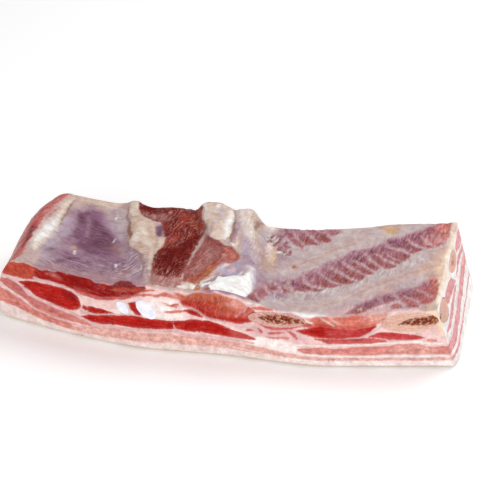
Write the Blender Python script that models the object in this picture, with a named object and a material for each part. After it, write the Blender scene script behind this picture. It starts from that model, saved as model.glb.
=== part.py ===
"""A raw, salted strip of pork belly on the bone, lying on its rind with the rib side up.

Lengths here are millimetres and become metres when a mesh is made. On the strip, s runs along
it, t runs across it from the front cut to the back cut, and z is the height above the rind.
"""
import math

import bmesh
import bpy
import numpy as np

MM = 0.001

# Plan of the strip
WIDTH = 86.5                     # front cut to back cut
LEFT_CUT = (-140.0, -112.0)      # s of the left cut on the upper face, at the front and at the back
RIGHT_CUT = (107.4, 129.0)       # s of the right cut on the upper face, at the front and at the back
LEFT_FOOT = (19.0, 19.0)         # how much further out the left cut is at the rind, front and back
LEFT_SLOPE = (2.2, 7.0)          # how high up the left cut keeps that reach, front and back
LEFT_SWELL = 5.0                 # the left cut swells out by this behind its middle
RIGHT_FOOT = (16.8, 15.6)        # the same for the right cut
STRAIGHT_FROM = 57.0             # right of this s the strip is straight
BEND = 0.00114                   # left of it the strip curves back by this times the distance squared
FRONT_WAVE = (-16.0, 60.0, 4.6)  # a shallow dent in the front cut: middle, half length, depth
CENTRE = (-7.46, -58.86)         # middle of the strip's own box, which becomes the origin
FRONT_CUT_Y = -121.7             # the straight part of the front cut, before centring

# Edges and walls
RIND_RADIUS = 3.0                # round of the lower edges
CUT_RADIUS = 1.4                 # round of the upper edges
CORNER_REACH = 10.0              # the lower corners are rounded in plan from this far along the cut
LEFT_CORNER_ROUND = 5.5          # and stand in this far at the corner itself
RIGHT_CORNER_ROUND = 3.0
WALL_BULGE = 1.0                 # the cut faces swell by this at half height

# Heights of the upper face
LEFT_HEIGHT = 45.6
STEP_DOWN = (8.2, 6.0)           # the belly is thinner where the ribs lie: at the front, at the back
STEP_AT = (5.0, 7.5)             # s of the middle of the step, at the front and at the back
STEP_LENGTH = (38.0, 11.0)       # its length, front and back
RISE_FROM = 30.0                 # right of this s the upper face rises again
RISE = 0.062

# The ribs: the path of each one's middle (s, t, z), half its width and half its height
RIB_FRONT = [(-8, -11.5, 32.6), (17, 0.5, 33.0), (62, 20, 35.2), (100, 40, 38.0), (150, 70, 40.0)]
RIB_CORNER = [(66, -13, 33.4), (96, 1.0, 34.6), (112, 9.0, 35.4), (136, 22, 36.6)]
RIB_BACK = [(27, 43, 33.8), (45, 55.5, 34.2), (62, 67, 35.2), (80, 78, 36.6), (108, 95, 38.2)]
RIB_HALF = 6.8
RIB_FRONT_HALF_HEIGHT = 4.9
RIB_CORNER_HALF_HEIGHT = 6.3
RIB_BACK_HALF_HEIGHT = 5.0

# The two rods of cartilage that the front cut goes through, running in to rounded tips
CARTILAGE_SMALL = [(-77, -8, 30.2), (-75.2, 0, 30.2), (-71, 17, 31.0), (-66, 32, 32.5)]
CARTILAGE_LARGE = [(-63, -8, 31.0), (-61, 0, 31.0), (-55, 22, 32.6), (-47, 44, 34.4)]
CARTILAGE_SMALL_HALF = (3.1, 3.9)
CARTILAGE_LARGE_HALF = (5.0, 6.2)
TIP_LENGTH = 9.0                 # a rounded tip takes this much of a rod's end
TIP_BLUNT = 0.25                 # and keeps this part of its width at the very end

# What swells on the upper face: middle (s, t), half sizes, turn in degrees, height, and steepness,
# which is 2 for a soft swelling and more for one with a steep side
MOUNDS = (
    ((-103, 34), (40, 50), 0, -2.4, 2.0),    # the film on the left is slightly hollow
    ((-150, -8), (26, 26), 0, 1.8, 2.0),     # and its front corner turns up
    ((-46, 44), (22, 66), 0, 3.2, 3.0),      # the thin muscle behind the band of fat
    ((-21, 32), (18, 17), 25, 3.6, 4.0),     # the muscle's lobe
    ((-14, 84), (21, 42), 0, 4.6, 5.0),      # the fat along the back edge
    ((-24, 78), (11, 32), 0, 3.0, 4.0),      # and its thickest lobe
    ((-20, 8), (20, 20), 20, 2.4, 2.0),      # the fat at the front edge
)
# Ridges and grooves there: path (s, t), half width, height
RIDGES = (
    (((-73, 92), (-69, 62), (-68, 44), (-61, 22), (-60, -6)), 12, 3.0),   # the band of fat
    (((-36, 26), (-30, 44), (-30, 62)), 5, -1.6),                         # between muscle and lobe
    (((2, 92), (3, 60), (0, 26)), 8, 2.6),                                # the folded edge
    (((-10, 92), (-9, 66)), 4, -1.2),                                     # between fold and fat
)
RIB_RIDGE_HALF = 13                          # the ribs show as low ridges this wide each way
RIB_RIDGES = ((RIB_FRONT, 1.3), (RIB_CORNER, 2.4), (RIB_BACK, 1.3))

GAP = 0.32                       # between a bone and the flesh round it

# Fineness of the solids
ALONG, ACROSS, UP = 70, 22, 3
ROD_ROUND = 4                    # bevel resolution of a bone
ROD_STEPS = 4                    # points of a bone between two of its path's own

COLOURS = {
    "flesh": (0.55, 0.20, 0.16, 1.0),
    "bone": (0.66, 0.45, 0.34, 1.0),
    "cartilage": (0.82, 0.80, 0.82, 1.0),
}


def smooth(x):
    """A smooth step from 0 to 1."""
    x = np.clip(x, 0.0, 1.0)
    return x * x * (3.0 - 2.0 * x)


def between(pair, part):
    """The value a part of the way from the first of a pair to the second."""
    return pair[0] + (pair[1] - pair[0]) * part


def front_y(s):
    """Y of the front cut at s: straight on the right, curving back on the left."""
    left = np.clip(STRAIGHT_FROM - s, 0.0, None)
    middle, half, depth = FRONT_WAVE
    wave = depth * np.clip(1.0 - ((s - middle) / half) ** 2, 0.0, 1.0) ** 2
    return FRONT_CUT_Y + BEND * left ** 2 + wave


def mound(s, t, middle, half, turn, height, steep):
    """An oval swelling of the upper face."""
    angle = math.radians(turn)
    along = (s - middle[0]) * math.cos(angle) + (t - middle[1]) * math.sin(angle)
    across = (t - middle[1]) * math.cos(angle) - (s - middle[0]) * math.sin(angle)
    reach = np.sqrt((along / half[0]) ** 2 + (across / half[1]) ** 2)
    return height * np.clip(1.0 - reach ** steep, 0.0, 1.0) ** 2


def ridge(s, t, path, half_width, height):
    """A rounded ridge along a line of (s, t) points."""
    nearest = np.full(np.shape(s), 1e9)
    for (s0, t0), (s1, t1) in zip(path, path[1:]):
        ds, dt = s1 - s0, t1 - t0
        part = np.clip(((s - s0) * ds + (t - t0) * dt) / (ds * ds + dt * dt), 0.0, 1.0)
        nearest = np.minimum(nearest, np.hypot(s - s0 - part * ds, t - t0 - part * dt))
    return height * np.clip(1.0 - (nearest / half_width) ** 2, 0.0, 1.0) ** 2


def top_z(s, t):
    """Height of the upper face: the slab, its step and rise, and what swells on it."""
    across = np.clip(t / WIDTH, 0.0, 1.0)
    step = smooth(0.5 + (s - between(STEP_AT, across)) / between(STEP_LENGTH, across))
    z = LEFT_HEIGHT - between(STEP_DOWN, across) * step + RISE * np.clip(s - RISE_FROM, 0.0, None)
    for middle, half, turn, height, steep in MOUNDS:
        z += mound(s, t, middle, half, turn, height, steep)
    for path, half_width, height in RIDGES:
        z += ridge(s, t, path, half_width, height)
    for path, height in RIB_RIDGES:
        z += ridge(s, t, [point[:2] for point in path], RIB_RIDGE_HALF, height)
    return z


def edge_inset(z, top):
    """How far a wall stands in at height z, for the rounds along its lower and upper edges."""
    low = np.clip(RIND_RADIUS - z, 0.0, RIND_RADIUS)
    high = np.clip(CUT_RADIUS - (top - z), 0.0, CUT_RADIUS)
    at_rind = RIND_RADIUS - np.sqrt(RIND_RADIUS ** 2 - low ** 2)
    at_cut = CUT_RADIUS - np.sqrt(CUT_RADIUS ** 2 - high ** 2)
    return at_rind + at_cut


def cut_ends(t, height):
    """s of the left and right cuts, at t and at a height from 0 at the rind to 1 at the top."""
    across = np.clip(t / WIDTH, 0.0, 1.0)
    slope = between(LEFT_SLOPE, across ** 2)
    out_left = between(LEFT_FOOT, across) * np.clip(1.0 - height ** slope, 0.0, 1.0) ** 0.7
    out_left = out_left + LEFT_SWELL * np.sin(math.pi * across ** 1.6)
    out_right = between(RIGHT_FOOT, across) * (1.0 - height)
    to_corner = np.clip(1.0 - np.minimum(t, WIDTH - t) / CORNER_REACH, 0.0, 1.0)
    rounding = to_corner ** 2 * (1.0 - height)
    left = between(LEFT_CUT, across) - out_left + LEFT_CORNER_ROUND * rounding
    right = between(RIGHT_CUT, across) + out_right - RIGHT_CORNER_ROUND * rounding
    return left, right


def wall_levels(top):
    """Heights of the rows of points up a wall whose upper edge is at top."""
    third = 1.0 - math.cos(math.pi / 4)
    levels = [0.0, RIND_RADIUS * third, RIND_RADIUS]
    for row in range(1, UP + 1):
        levels.append(RIND_RADIUS + (top - CUT_RADIUS - RIND_RADIUS) * row / UP)
    return levels + [top - CUT_RADIUS * third, top]


def strip_point(u, v, row):
    """The point at u along, v across and a row up the walls, in metres about the origin."""
    t = WIDTH * v
    height, z, s = 1.0, 0.0, 0.0
    for _ in range(6):
        left, right = cut_ends(t, height)
        s = left + (right - left) * u
        top = float(top_z(s, t))
        z = wall_levels(top)[row]
        height = z / top
    inset = float(edge_inset(z, top))
    s = left + inset + (right - left - 2 * inset) * u
    swell = WALL_BULGE * math.sin(math.pi * height) * (2 * v - 1)
    t = inset + (WIDTH - 2 * inset) * v + swell
    return ((s - CENTRE[0]) * MM, (float(front_y(s)) + t - CENTRE[1]) * MM, z * MM)


def strip_mesh():
    """The whole strip as one closed skin: upper face, four walls and a flat underside."""
    bm = bmesh.new()
    last_row = len(wall_levels(40.0)) - 1
    rim = [(i, 0) for i in range(ALONG)] + [(ALONG, j) for j in range(ACROSS)]
    rim += [(i, ACROSS) for i in range(ALONG, 0, -1)] + [(0, j) for j in range(ACROSS, 0, -1)]
    points = {}

    def point(i, j, row):
        key = (i, j, row)
        if key not in points:
            points[key] = bm.verts.new(strip_point(i / ALONG, j / ACROSS, row))
        return points[key]

    for i in range(ALONG):
        for j in range(ACROSS):
            corners = ((i, j), (i + 1, j), (i + 1, j + 1), (i, j + 1))
            bm.faces.new([point(a, b, last_row) for a, b in corners])
    for (a, b), (c, d) in zip(rim, rim[1:] + rim[:1]):
        for row in range(last_row):
            bm.faces.new([point(a, b, row), point(c, d, row), point(c, d, row + 1), point(a, b, row + 1)])
    bm.faces.new([point(a, b, 0) for a, b in reversed(rim)])
    mesh = bpy.data.meshes.new("strip")
    bm.to_mesh(mesh)
    bm.free()
    return mesh


def place(s, t, z):
    """A place in the strip, in metres about the origin."""
    return ((s - CENTRE[0]) * MM, (float(front_y(s)) + t - CENTRE[1]) * MM, z * MM)


def smooth_path(path):
    """Points along a smooth curve through a path's own points."""
    before = tuple(2 * a - b for a, b in zip(path[0], path[1]))
    after = tuple(2 * a - b for a, b in zip(path[-1], path[-2]))
    knots = [before] + list(path) + [after]
    points = []
    for k in range(1, len(knots) - 2):
        for step in range(ROD_STEPS):
            f = step / ROD_STEPS
            shares = (
                -f + 2 * f ** 2 - f ** 3,
                2 - 5 * f ** 2 + 3 * f ** 3,
                f + 4 * f ** 2 - 3 * f ** 3,
                f ** 3 - f ** 2,
            )
            near = knots[k - 1:k + 3]
            points.append(tuple(sum(w * p[axis] for w, p in zip(shares, near)) / 2 for axis in range(3)))
    return points + [tuple(path[-1])]


def tip_radius(point, tip):
    """A rod's radius at a point as a part of the full one: it rounds off towards its tip, if any."""
    if tip is None:
        return 1.0
    inside = min(math.dist(point, tip) / TIP_LENGTH, 1.0)
    return TIP_BLUNT + (1.0 - TIP_BLUNT) * math.sqrt(1.0 - (1.0 - inside) ** 2)


def rod(name, path, half_width, half_height, tip, grow=0.0):
    """A rod of oval section along a path, made as a flattened curve and turned into a mesh.

    tip says which end of the path is a rounded tip, 'first', 'last' or None.
    """
    flat = (half_height + grow) / (half_width + grow)
    points = smooth_path(path)
    tip_point = {"first": points[0], "last": points[-1], None: None}[tip]
    curve = bpy.data.curves.new(name, "CURVE")
    curve.dimensions = "3D"
    curve.bevel_depth = (half_width + grow) * MM
    curve.bevel_resolution = ROD_ROUND
    curve.use_fill_caps = True
    spline = curve.splines.new("POLY")
    spline.points.add(len(points) - 1)
    for slot, point in zip(spline.points, points):
        x, y, z = place(*point)
        slot.co = (x, y, z / flat, 1.0)
        slot.radius = tip_radius(point, tip_point)
    drawn = bpy.data.objects.new(name + "_curve", curve)
    drawn.scale = (1.0, 1.0, flat)
    bpy.context.scene.collection.objects.link(drawn)
    bpy.context.view_layer.update()
    seen = drawn.evaluated_get(bpy.context.evaluated_depsgraph_get())
    mesh = bpy.data.meshes.new_from_object(seen)
    mesh.transform(drawn.matrix_world)
    bpy.data.objects.remove(drawn)
    bm = bmesh.new()
    bm.from_mesh(mesh)
    bmesh.ops.remove_doubles(bm, verts=bm.verts, dist=0.02 * MM)
    bmesh.ops.recalc_face_normals(bm, faces=bm.faces)
    bm.to_mesh(mesh)
    bm.free()
    return bpy.data.objects.new(name, mesh)


def material(name):
    """A Principled material of one of the strip's colours."""
    made = bpy.data.materials.new(name)
    made.use_nodes = True
    shader = made.node_tree.nodes["Principled BSDF"]
    shader.inputs["Base Color"].default_value = COLOURS[name]
    shader.inputs["Roughness"].default_value = 0.4
    shader.inputs["Metallic"].default_value = 0.0
    return made


def cut(piece, cutter, operation):
    """A Boolean modifier on a piece."""
    modifier = piece.modifiers.new(cutter.name, "BOOLEAN")
    modifier.operation = operation
    modifier.solver = "EXACT"
    modifier.object = cutter


def hide_cutter(piece, collection):
    """Keep a piece as a cutter only."""
    collection.objects.link(piece)
    piece.hide_render = True
    piece.display_type = "WIRE"


def main():
    for old in list(bpy.data.objects):
        bpy.data.objects.remove(old)
    shown = bpy.data.collections.new("pork_belly")
    cutters = bpy.data.collections.new("cutters")
    for collection in (shown, cutters):
        bpy.context.scene.collection.children.link(collection)
    materials = {name: material(name) for name in COLOURS}

    blank = bpy.data.objects.new("strip_blank", strip_mesh())
    hide_cutter(blank, cutters)
    belly = bpy.data.objects.new("belly", blank.data.copy())
    belly.data.materials.append(materials["flesh"])
    belly.data.shade_smooth()
    shown.objects.link(belly)

    bones = (
        ("rib_front", RIB_FRONT, RIB_HALF, RIB_FRONT_HALF_HEIGHT, None, "bone"),
        ("rib_corner", RIB_CORNER, RIB_HALF, RIB_CORNER_HALF_HEIGHT, None, "bone"),
        ("rib_back", RIB_BACK, RIB_HALF, RIB_BACK_HALF_HEIGHT, "first", "bone"),
        ("cartilage_small", CARTILAGE_SMALL, *CARTILAGE_SMALL_HALF, "last", "cartilage"),
        ("cartilage_large", CARTILAGE_LARGE, *CARTILAGE_LARGE_HALF, "last", "cartilage"),
    )
    for name, path, half_width, half_height, tip, finish in bones:
        bone = rod(name, path, half_width, half_height, tip)
        bone.data.materials.append(materials[finish])
        bone.data.shade_smooth()
        shown.objects.link(bone)
        cut(bone, blank, "INTERSECT")
        pocket = rod(name + "_pocket", path, half_width, half_height, tip, GAP)
        hide_cutter(pocket, cutters)
        cut(belly, pocket, "DIFFERENCE")


main()
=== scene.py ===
"""The looks of a raw, salted strip of pork belly on the bone, lying on its rind, rib side up.

Lengths are millimetres until a mesh is made. s runs along the strip, t runs across it from the
front cut to the back cut, and z is the height above the rind.
"""
import math

import bpy
import numpy as np
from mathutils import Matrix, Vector


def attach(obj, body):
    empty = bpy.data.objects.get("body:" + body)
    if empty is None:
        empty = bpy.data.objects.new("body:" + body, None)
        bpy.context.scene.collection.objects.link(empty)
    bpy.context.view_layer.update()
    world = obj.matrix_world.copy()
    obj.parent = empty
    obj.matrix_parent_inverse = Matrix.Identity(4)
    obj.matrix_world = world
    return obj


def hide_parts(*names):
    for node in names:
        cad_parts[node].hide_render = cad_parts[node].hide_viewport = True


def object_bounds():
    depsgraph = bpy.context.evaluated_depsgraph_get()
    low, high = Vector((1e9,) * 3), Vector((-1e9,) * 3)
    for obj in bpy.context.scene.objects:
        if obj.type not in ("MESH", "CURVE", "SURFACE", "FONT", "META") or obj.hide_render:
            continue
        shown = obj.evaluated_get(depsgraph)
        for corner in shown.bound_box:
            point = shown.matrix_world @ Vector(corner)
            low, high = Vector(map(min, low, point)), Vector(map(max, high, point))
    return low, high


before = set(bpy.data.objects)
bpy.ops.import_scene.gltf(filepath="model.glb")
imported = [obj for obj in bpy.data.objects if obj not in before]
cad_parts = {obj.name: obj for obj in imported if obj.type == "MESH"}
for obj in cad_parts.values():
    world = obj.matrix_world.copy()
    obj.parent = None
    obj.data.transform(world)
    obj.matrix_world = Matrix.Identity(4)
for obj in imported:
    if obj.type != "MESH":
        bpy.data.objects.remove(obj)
CAD_LOW, CAD_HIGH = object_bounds()

MM = 0.001

# ---------------------------------------------------------------------------------------------
# The strip's form, by the same sizes and rules as its solids
# ---------------------------------------------------------------------------------------------
WIDTH = 86.5                     # front cut to back cut
LEFT_CUT = (-140.0, -112.0)      # s of the left cut on the upper face, at the front and at the back
RIGHT_CUT = (107.4, 129.0)       # s of the right cut there
LEFT_FOOT = (19.0, 19.0)         # how much further out the left cut is at the rind, front and back
LEFT_SLOPE = (2.2, 7.0)          # how high up the left cut keeps that reach, front and back
LEFT_SWELL = 5.0                 # the left cut swells out by this behind its middle
RIGHT_FOOT = (16.8, 15.6)        # the same for the right cut
STRAIGHT_FROM = 57.0             # right of this s the strip is straight
BEND = 0.00114                   # left of it the strip curves back by this times the distance squared
FRONT_WAVE = (-16.0, 60.0, 4.6)  # a shallow dent in the front cut: middle, half length, depth
CENTRE = (-7.46, -58.86)         # middle of the strip's own box, which is the origin
FRONT_CUT_Y = -121.7             # the straight part of the front cut, before centring
RIND_RADIUS = 3.0                # round of the lower edges
CUT_RADIUS = 1.4                 # round of the upper edges
CORNER_REACH = 10.0              # the lower corners are rounded in plan from this far along the cut
LEFT_CORNER_ROUND = 5.5
RIGHT_CORNER_ROUND = 3.0
WALL_BULGE = 1.0                 # the cut faces swell by this at half height
LEFT_HEIGHT = 45.6
STEP_DOWN = (8.2, 6.0)           # the belly is thinner where the ribs lie: at the front, at the back
STEP_AT = (5.0, 7.5)
STEP_LENGTH = (38.0, 11.0)
RISE_FROM = 30.0
RISE = 0.062
RIB_FRONT = [(-8, -11.5, 32.6), (17, 0.5, 33.0), (62, 20, 35.2), (100, 40, 38.0), (150, 70, 40.0)]
RIB_CORNER = [(66, -13, 33.4), (96, 1.0, 34.6), (112, 9.0, 35.4), (136, 22, 36.6)]
RIB_BACK = [(27, 43, 33.8), (45, 55.5, 34.2), (62, 67, 35.2), (80, 78, 36.6), (108, 95, 38.2)]
CARTILAGE_SMALL = [(-77, -8, 30.2), (-75.2, 0, 30.2), (-71, 17, 31.0), (-66, 32, 32.5)]
CARTILAGE_LARGE = [(-63, -8, 31.0), (-61, 0, 31.0), (-55, 22, 32.6), (-47, 44, 34.4)]
MOUNDS = (
    ((-103, 34), (40, 50), 0, -2.4, 2.0),    # the film on the left is slightly hollow
    ((-150, -8), (26, 26), 0, 1.8, 2.0),     # and its front corner turns up
    ((-46, 44), (22, 66), 0, 3.2, 3.0),      # the thin muscle behind the band of fat
    ((-21, 32), (18, 17), 25, 3.6, 4.0),     # the muscle's lobe
    ((-14, 84), (21, 42), 0, 4.6, 5.0),      # the fat along the back edge
    ((-24, 78), (11, 32), 0, 3.0, 4.0),      # and its thickest lobe
    ((-20, 8), (20, 20), 20, 2.4, 2.0),      # the fat at the front edge
)
RIDGES = (
    (((-73, 92), (-69, 62), (-68, 44), (-61, 22), (-60, -6)), 12, 3.0),   # the band of fat
    (((-36, 26), (-30, 44), (-30, 62)), 5, -1.6),                         # between muscle and lobe
    (((2, 92), (3, 60), (0, 26)), 8, 2.6),                                # the folded edge
    (((-10, 92), (-9, 66)), 4, -1.2),                                     # between fold and fat
)
RIB_RIDGE_HALF = 13
RIB_RIDGES = ((RIB_FRONT, 1.3), (RIB_CORNER, 2.4), (RIB_BACK, 1.3))

# Fineness of the visible mesh
ALONG, ACROSS = 240, 86
LOW_ROWS, MIDDLE_ROWS, HIGH_ROWS = 5, 70, 4
SHARP = math.radians(62)    # edges that turn more than this aren't smoothed


def smooth(x):
    """A smooth step from 0 to 1."""
    x = np.clip(x, 0.0, 1.0)
    return x * x * (3.0 - 2.0 * x)


def between(pair, part):
    """The value a part of the way from the first of a pair to the second."""
    return pair[0] + (pair[1] - pair[0]) * part


def front_y(s):
    """Y of the front cut at s: straight on the right, curving back on the left."""
    left = np.clip(STRAIGHT_FROM - s, 0.0, None)
    middle, half, depth = FRONT_WAVE
    wave = depth * np.clip(1.0 - ((s - middle) / half) ** 2, 0.0, 1.0) ** 2
    return FRONT_CUT_Y + BEND * left ** 2 + wave


def mound(s, t, middle, half, turn, height, steep):
    """An oval swelling of the upper face."""
    angle = math.radians(turn)
    along = (s - middle[0]) * math.cos(angle) + (t - middle[1]) * math.sin(angle)
    across = (t - middle[1]) * math.cos(angle) - (s - middle[0]) * math.sin(angle)
    reach = np.sqrt((along / half[0]) ** 2 + (across / half[1]) ** 2)
    return height * np.clip(1.0 - reach ** steep, 0.0, 1.0) ** 2


def from_line(x, y, path):
    """How far each place is from a line of points."""
    nearest = np.full(np.shape(x), 1e9)
    for (x0, y0), (x1, y1) in zip(path, path[1:]):
        dx, dy = x1 - x0, y1 - y0
        part = np.clip(((x - x0) * dx + (y - y0) * dy) / (dx * dx + dy * dy), 0.0, 1.0)
        nearest = np.minimum(nearest, np.hypot(x - x0 - part * dx, y - y0 - part * dy))
    return nearest


def ridge(s, t, path, half_width, height):
    """A rounded ridge along a line of (s, t) points."""
    return height * np.clip(1.0 - (from_line(s, t, path) / half_width) ** 2, 0.0, 1.0) ** 2


def top_z(s, t):
    """Height of the upper face, before its fine relief."""
    across = np.clip(t / WIDTH, 0.0, 1.0)
    step = smooth(0.5 + (s - between(STEP_AT, across)) / between(STEP_LENGTH, across))
    z = LEFT_HEIGHT - between(STEP_DOWN, across) * step + RISE * np.clip(s - RISE_FROM, 0.0, None)
    for middle, half, turn, height, steep in MOUNDS:
        z = z + mound(s, t, middle, half, turn, height, steep)
    for path, half_width, height in RIDGES:
        z = z + ridge(s, t, path, half_width, height)
    for path, height in RIB_RIDGES:
        z = z + ridge(s, t, [point[:2] for point in path], RIB_RIDGE_HALF, height)
    return z


def edge_inset(z, top):
    """How far a wall stands in at height z, for the rounds along its lower and upper edges."""
    low = np.clip(RIND_RADIUS - z, 0.0, RIND_RADIUS)
    high = np.clip(CUT_RADIUS - (top - z), 0.0, CUT_RADIUS)
    at_rind = RIND_RADIUS - np.sqrt(RIND_RADIUS ** 2 - low ** 2)
    at_cut = CUT_RADIUS - np.sqrt(CUT_RADIUS ** 2 - high ** 2)
    return at_rind + at_cut


def cut_ends(t, height):
    """s of the left and right cuts, at t and at a height from 0 at the rind to 1 at the top."""
    across = np.clip(t / WIDTH, 0.0, 1.0)
    slope = between(LEFT_SLOPE, across ** 2)
    out_left = between(LEFT_FOOT, across) * np.clip(1.0 - height ** slope, 0.0, 1.0) ** 0.7
    out_left = out_left + LEFT_SWELL * np.sin(math.pi * across ** 1.6)
    out_right = between(RIGHT_FOOT, across) * (1.0 - height)
    to_corner = np.clip(1.0 - np.minimum(t, WIDTH - t) / CORNER_REACH, 0.0, 1.0)
    rounding = to_corner ** 2 * (1.0 - height)
    left = between(LEFT_CUT, across) - out_left + LEFT_CORNER_ROUND * rounding
    right = between(RIGHT_CUT, across) + out_right - RIGHT_CORNER_ROUND * rounding
    return left, right


# ---------------------------------------------------------------------------------------------
# Noise
# ---------------------------------------------------------------------------------------------
def scatter(ix, iy, seed):
    """A fixed pseudo-random value from -1 to 1 for each pair of whole numbers."""
    mask = 0xFFFFFFFF
    h = (ix.astype(np.int64) * 374761393 + iy.astype(np.int64) * 668265263 + seed * 1442695041) & mask
    h = ((h ^ (h >> 13)) * 1274126177) & mask
    h = ((h ^ (h >> 16)) * 2246822519) & mask
    return (h ^ (h >> 15)) / (mask / 2.0) - 1.0


def wander(x, y, size, seed, octaves=2):
    """Smooth noise from about -1 to 1 whose bumps are size mm across."""
    total = np.zeros(np.shape(x))
    weight, share = 1.0, 0.0
    for octave in range(octaves):
        px, py = np.asarray(x) / size, np.asarray(y) / size
        ix, iy = np.floor(px), np.floor(py)
        fx, fy = smooth(px - ix), smooth(py - iy)
        low = scatter(ix, iy, seed + octave) * (1 - fx) + scatter(ix + 1, iy, seed + octave) * fx
        high = scatter(ix, iy + 1, seed + octave) * (1 - fx) + scatter(ix + 1, iy + 1, seed + octave) * fx
        total = total + weight * (low * (1 - fy) + high * fy)
        share += weight
        weight *= 0.5
        size *= 0.5
    return total / share * 1.4


def turned(x, y, degrees):
    """Coordinates along and across a direction."""
    c, d = math.cos(math.radians(degrees)), math.sin(math.radians(degrees))
    return x * c + y * d, y * c - x * d


# ---------------------------------------------------------------------------------------------
# Painting: each place on the strip gets three layers. Under everything is a base colour. Lean
# and then pale tissue lie over it, where a place is inside one of their strands.
# ---------------------------------------------------------------------------------------------
FAR = 6.0       # mm, the depth outside a layer from which nothing of it shows
CRISP = 1.5     # mm over which two tints of one layer blend
WISP = 0.25     # strength of the pale strokes in the base, unless a painter turns it

# Some tints are painted light: a bluish sheen and glints, a cream highlight on the rims, and a pink for the
# lean of the brightly lit right cut.
TINTS = {
    # lean
    "dark": (0.25, 0.003, 0.002), "red": (0.40, 0.007, 0.004), "rose": (0.52, 0.095, 0.085),
    "pink": (0.64, 0.23, 0.20), "salmon": (0.72, 0.40, 0.345), "orange": (0.50, 0.085, 0.045),
    "coral": (0.60, 0.16, 0.115), "brown": (0.16, 0.010, 0.006), "maroon": (0.20, 0.035, 0.033),
    "lobe": (0.34, 0.095, 0.085), "mauve": (0.34, 0.125, 0.15), "plum": (0.24, 0.085, 0.135),
    "blush": (0.50, 0.14, 0.13), "liver": (0.135, 0.004, 0.002), "wine": (0.185, 0.015, 0.009),
    "lip": (0.44, 0.21, 0.19), "clay": (0.31, 0.080, 0.070), "amber": (0.42, 0.095, 0.045),
    "heather": (0.36, 0.17, 0.225), "ember": (0.44, 0.055, 0.030), "crimson": (0.50, 0.045, 0.050),
    "veil": (0.50, 0.33, 0.37),
    # fat and gristle
    "fat": (0.80, 0.66, 0.62), "lard": (0.88, 0.77, 0.74), "gristle": (0.70, 0.44, 0.44),
    "pinkfat": (0.80, 0.55, 0.52), "cream": (0.66, 0.49, 0.40), "ivory": (0.80, 0.70, 0.63),
    "white": (0.95, 0.95, 0.94), "tallow": (0.70, 0.56, 0.48), "butter": (0.86, 0.62, 0.42),
    # films
    "lilac": (0.38, 0.235, 0.295), "purple": (0.15, 0.052, 0.092), "violet": (0.25, 0.11, 0.185),
    "pearl": (0.45, 0.335, 0.40), "grey": (0.44, 0.33, 0.355), "silver": (0.54, 0.43, 0.425),
    "haze": (0.42, 0.23, 0.255), "blue_sheen": (0.46, 0.39, 0.50), "tan": (0.48, 0.27, 0.17),
    "rust": (0.42, 0.14, 0.06), "honey": (0.60, 0.36, 0.19), "peach": (0.66, 0.36, 0.25),
    "shell": (0.56, 0.40, 0.375), "rind": (0.50, 0.33, 0.17), "lit_pink": (0.80, 0.34, 0.36),
    "cream_highlight": (0.94, 0.76, 0.62), "chalk": (0.95, 0.91, 0.89),
}


def depth_in(x, y, shape):
    """How deep places lie inside a shape in mm, less than 0 outside.

    A shape is a strand of (x, y, half width) stations, or an outline of (x, y) corners.
    """
    if len(shape[0]) == 2:
        loop = list(shape) + [shape[0]]
        within = np.zeros(np.shape(x), dtype=bool)
        for (x0, y0), (x1, y1) in zip(loop, loop[1:]):
            if y0 != y1:
                within ^= ((y0 > y) != (y1 > y)) & (x < x0 + (y - y0) * (x1 - x0) / (y1 - y0))
        away = from_line(x, y, loop)
        return np.where(within, away, -away)
    if len(shape) == 1:
        x0, y0, half = shape[0]
        return half - np.hypot(x - x0, y - y0)
    deepest = np.full(np.shape(x), -1e9)
    for (x0, y0, w0), (x1, y1, w1) in zip(shape, shape[1:]):
        dx, dy = x1 - x0, y1 - y0
        part = np.clip(((x - x0) * dx + (y - y0) * dy) / (dx * dx + dy * dy), 0.0, 1.0)
        away = np.hypot(x - x0 - part * dx, y - y0 - part * dy)
        deepest = np.maximum(deepest, w0 + (w1 - w0) * part - away)
    return deepest


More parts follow.
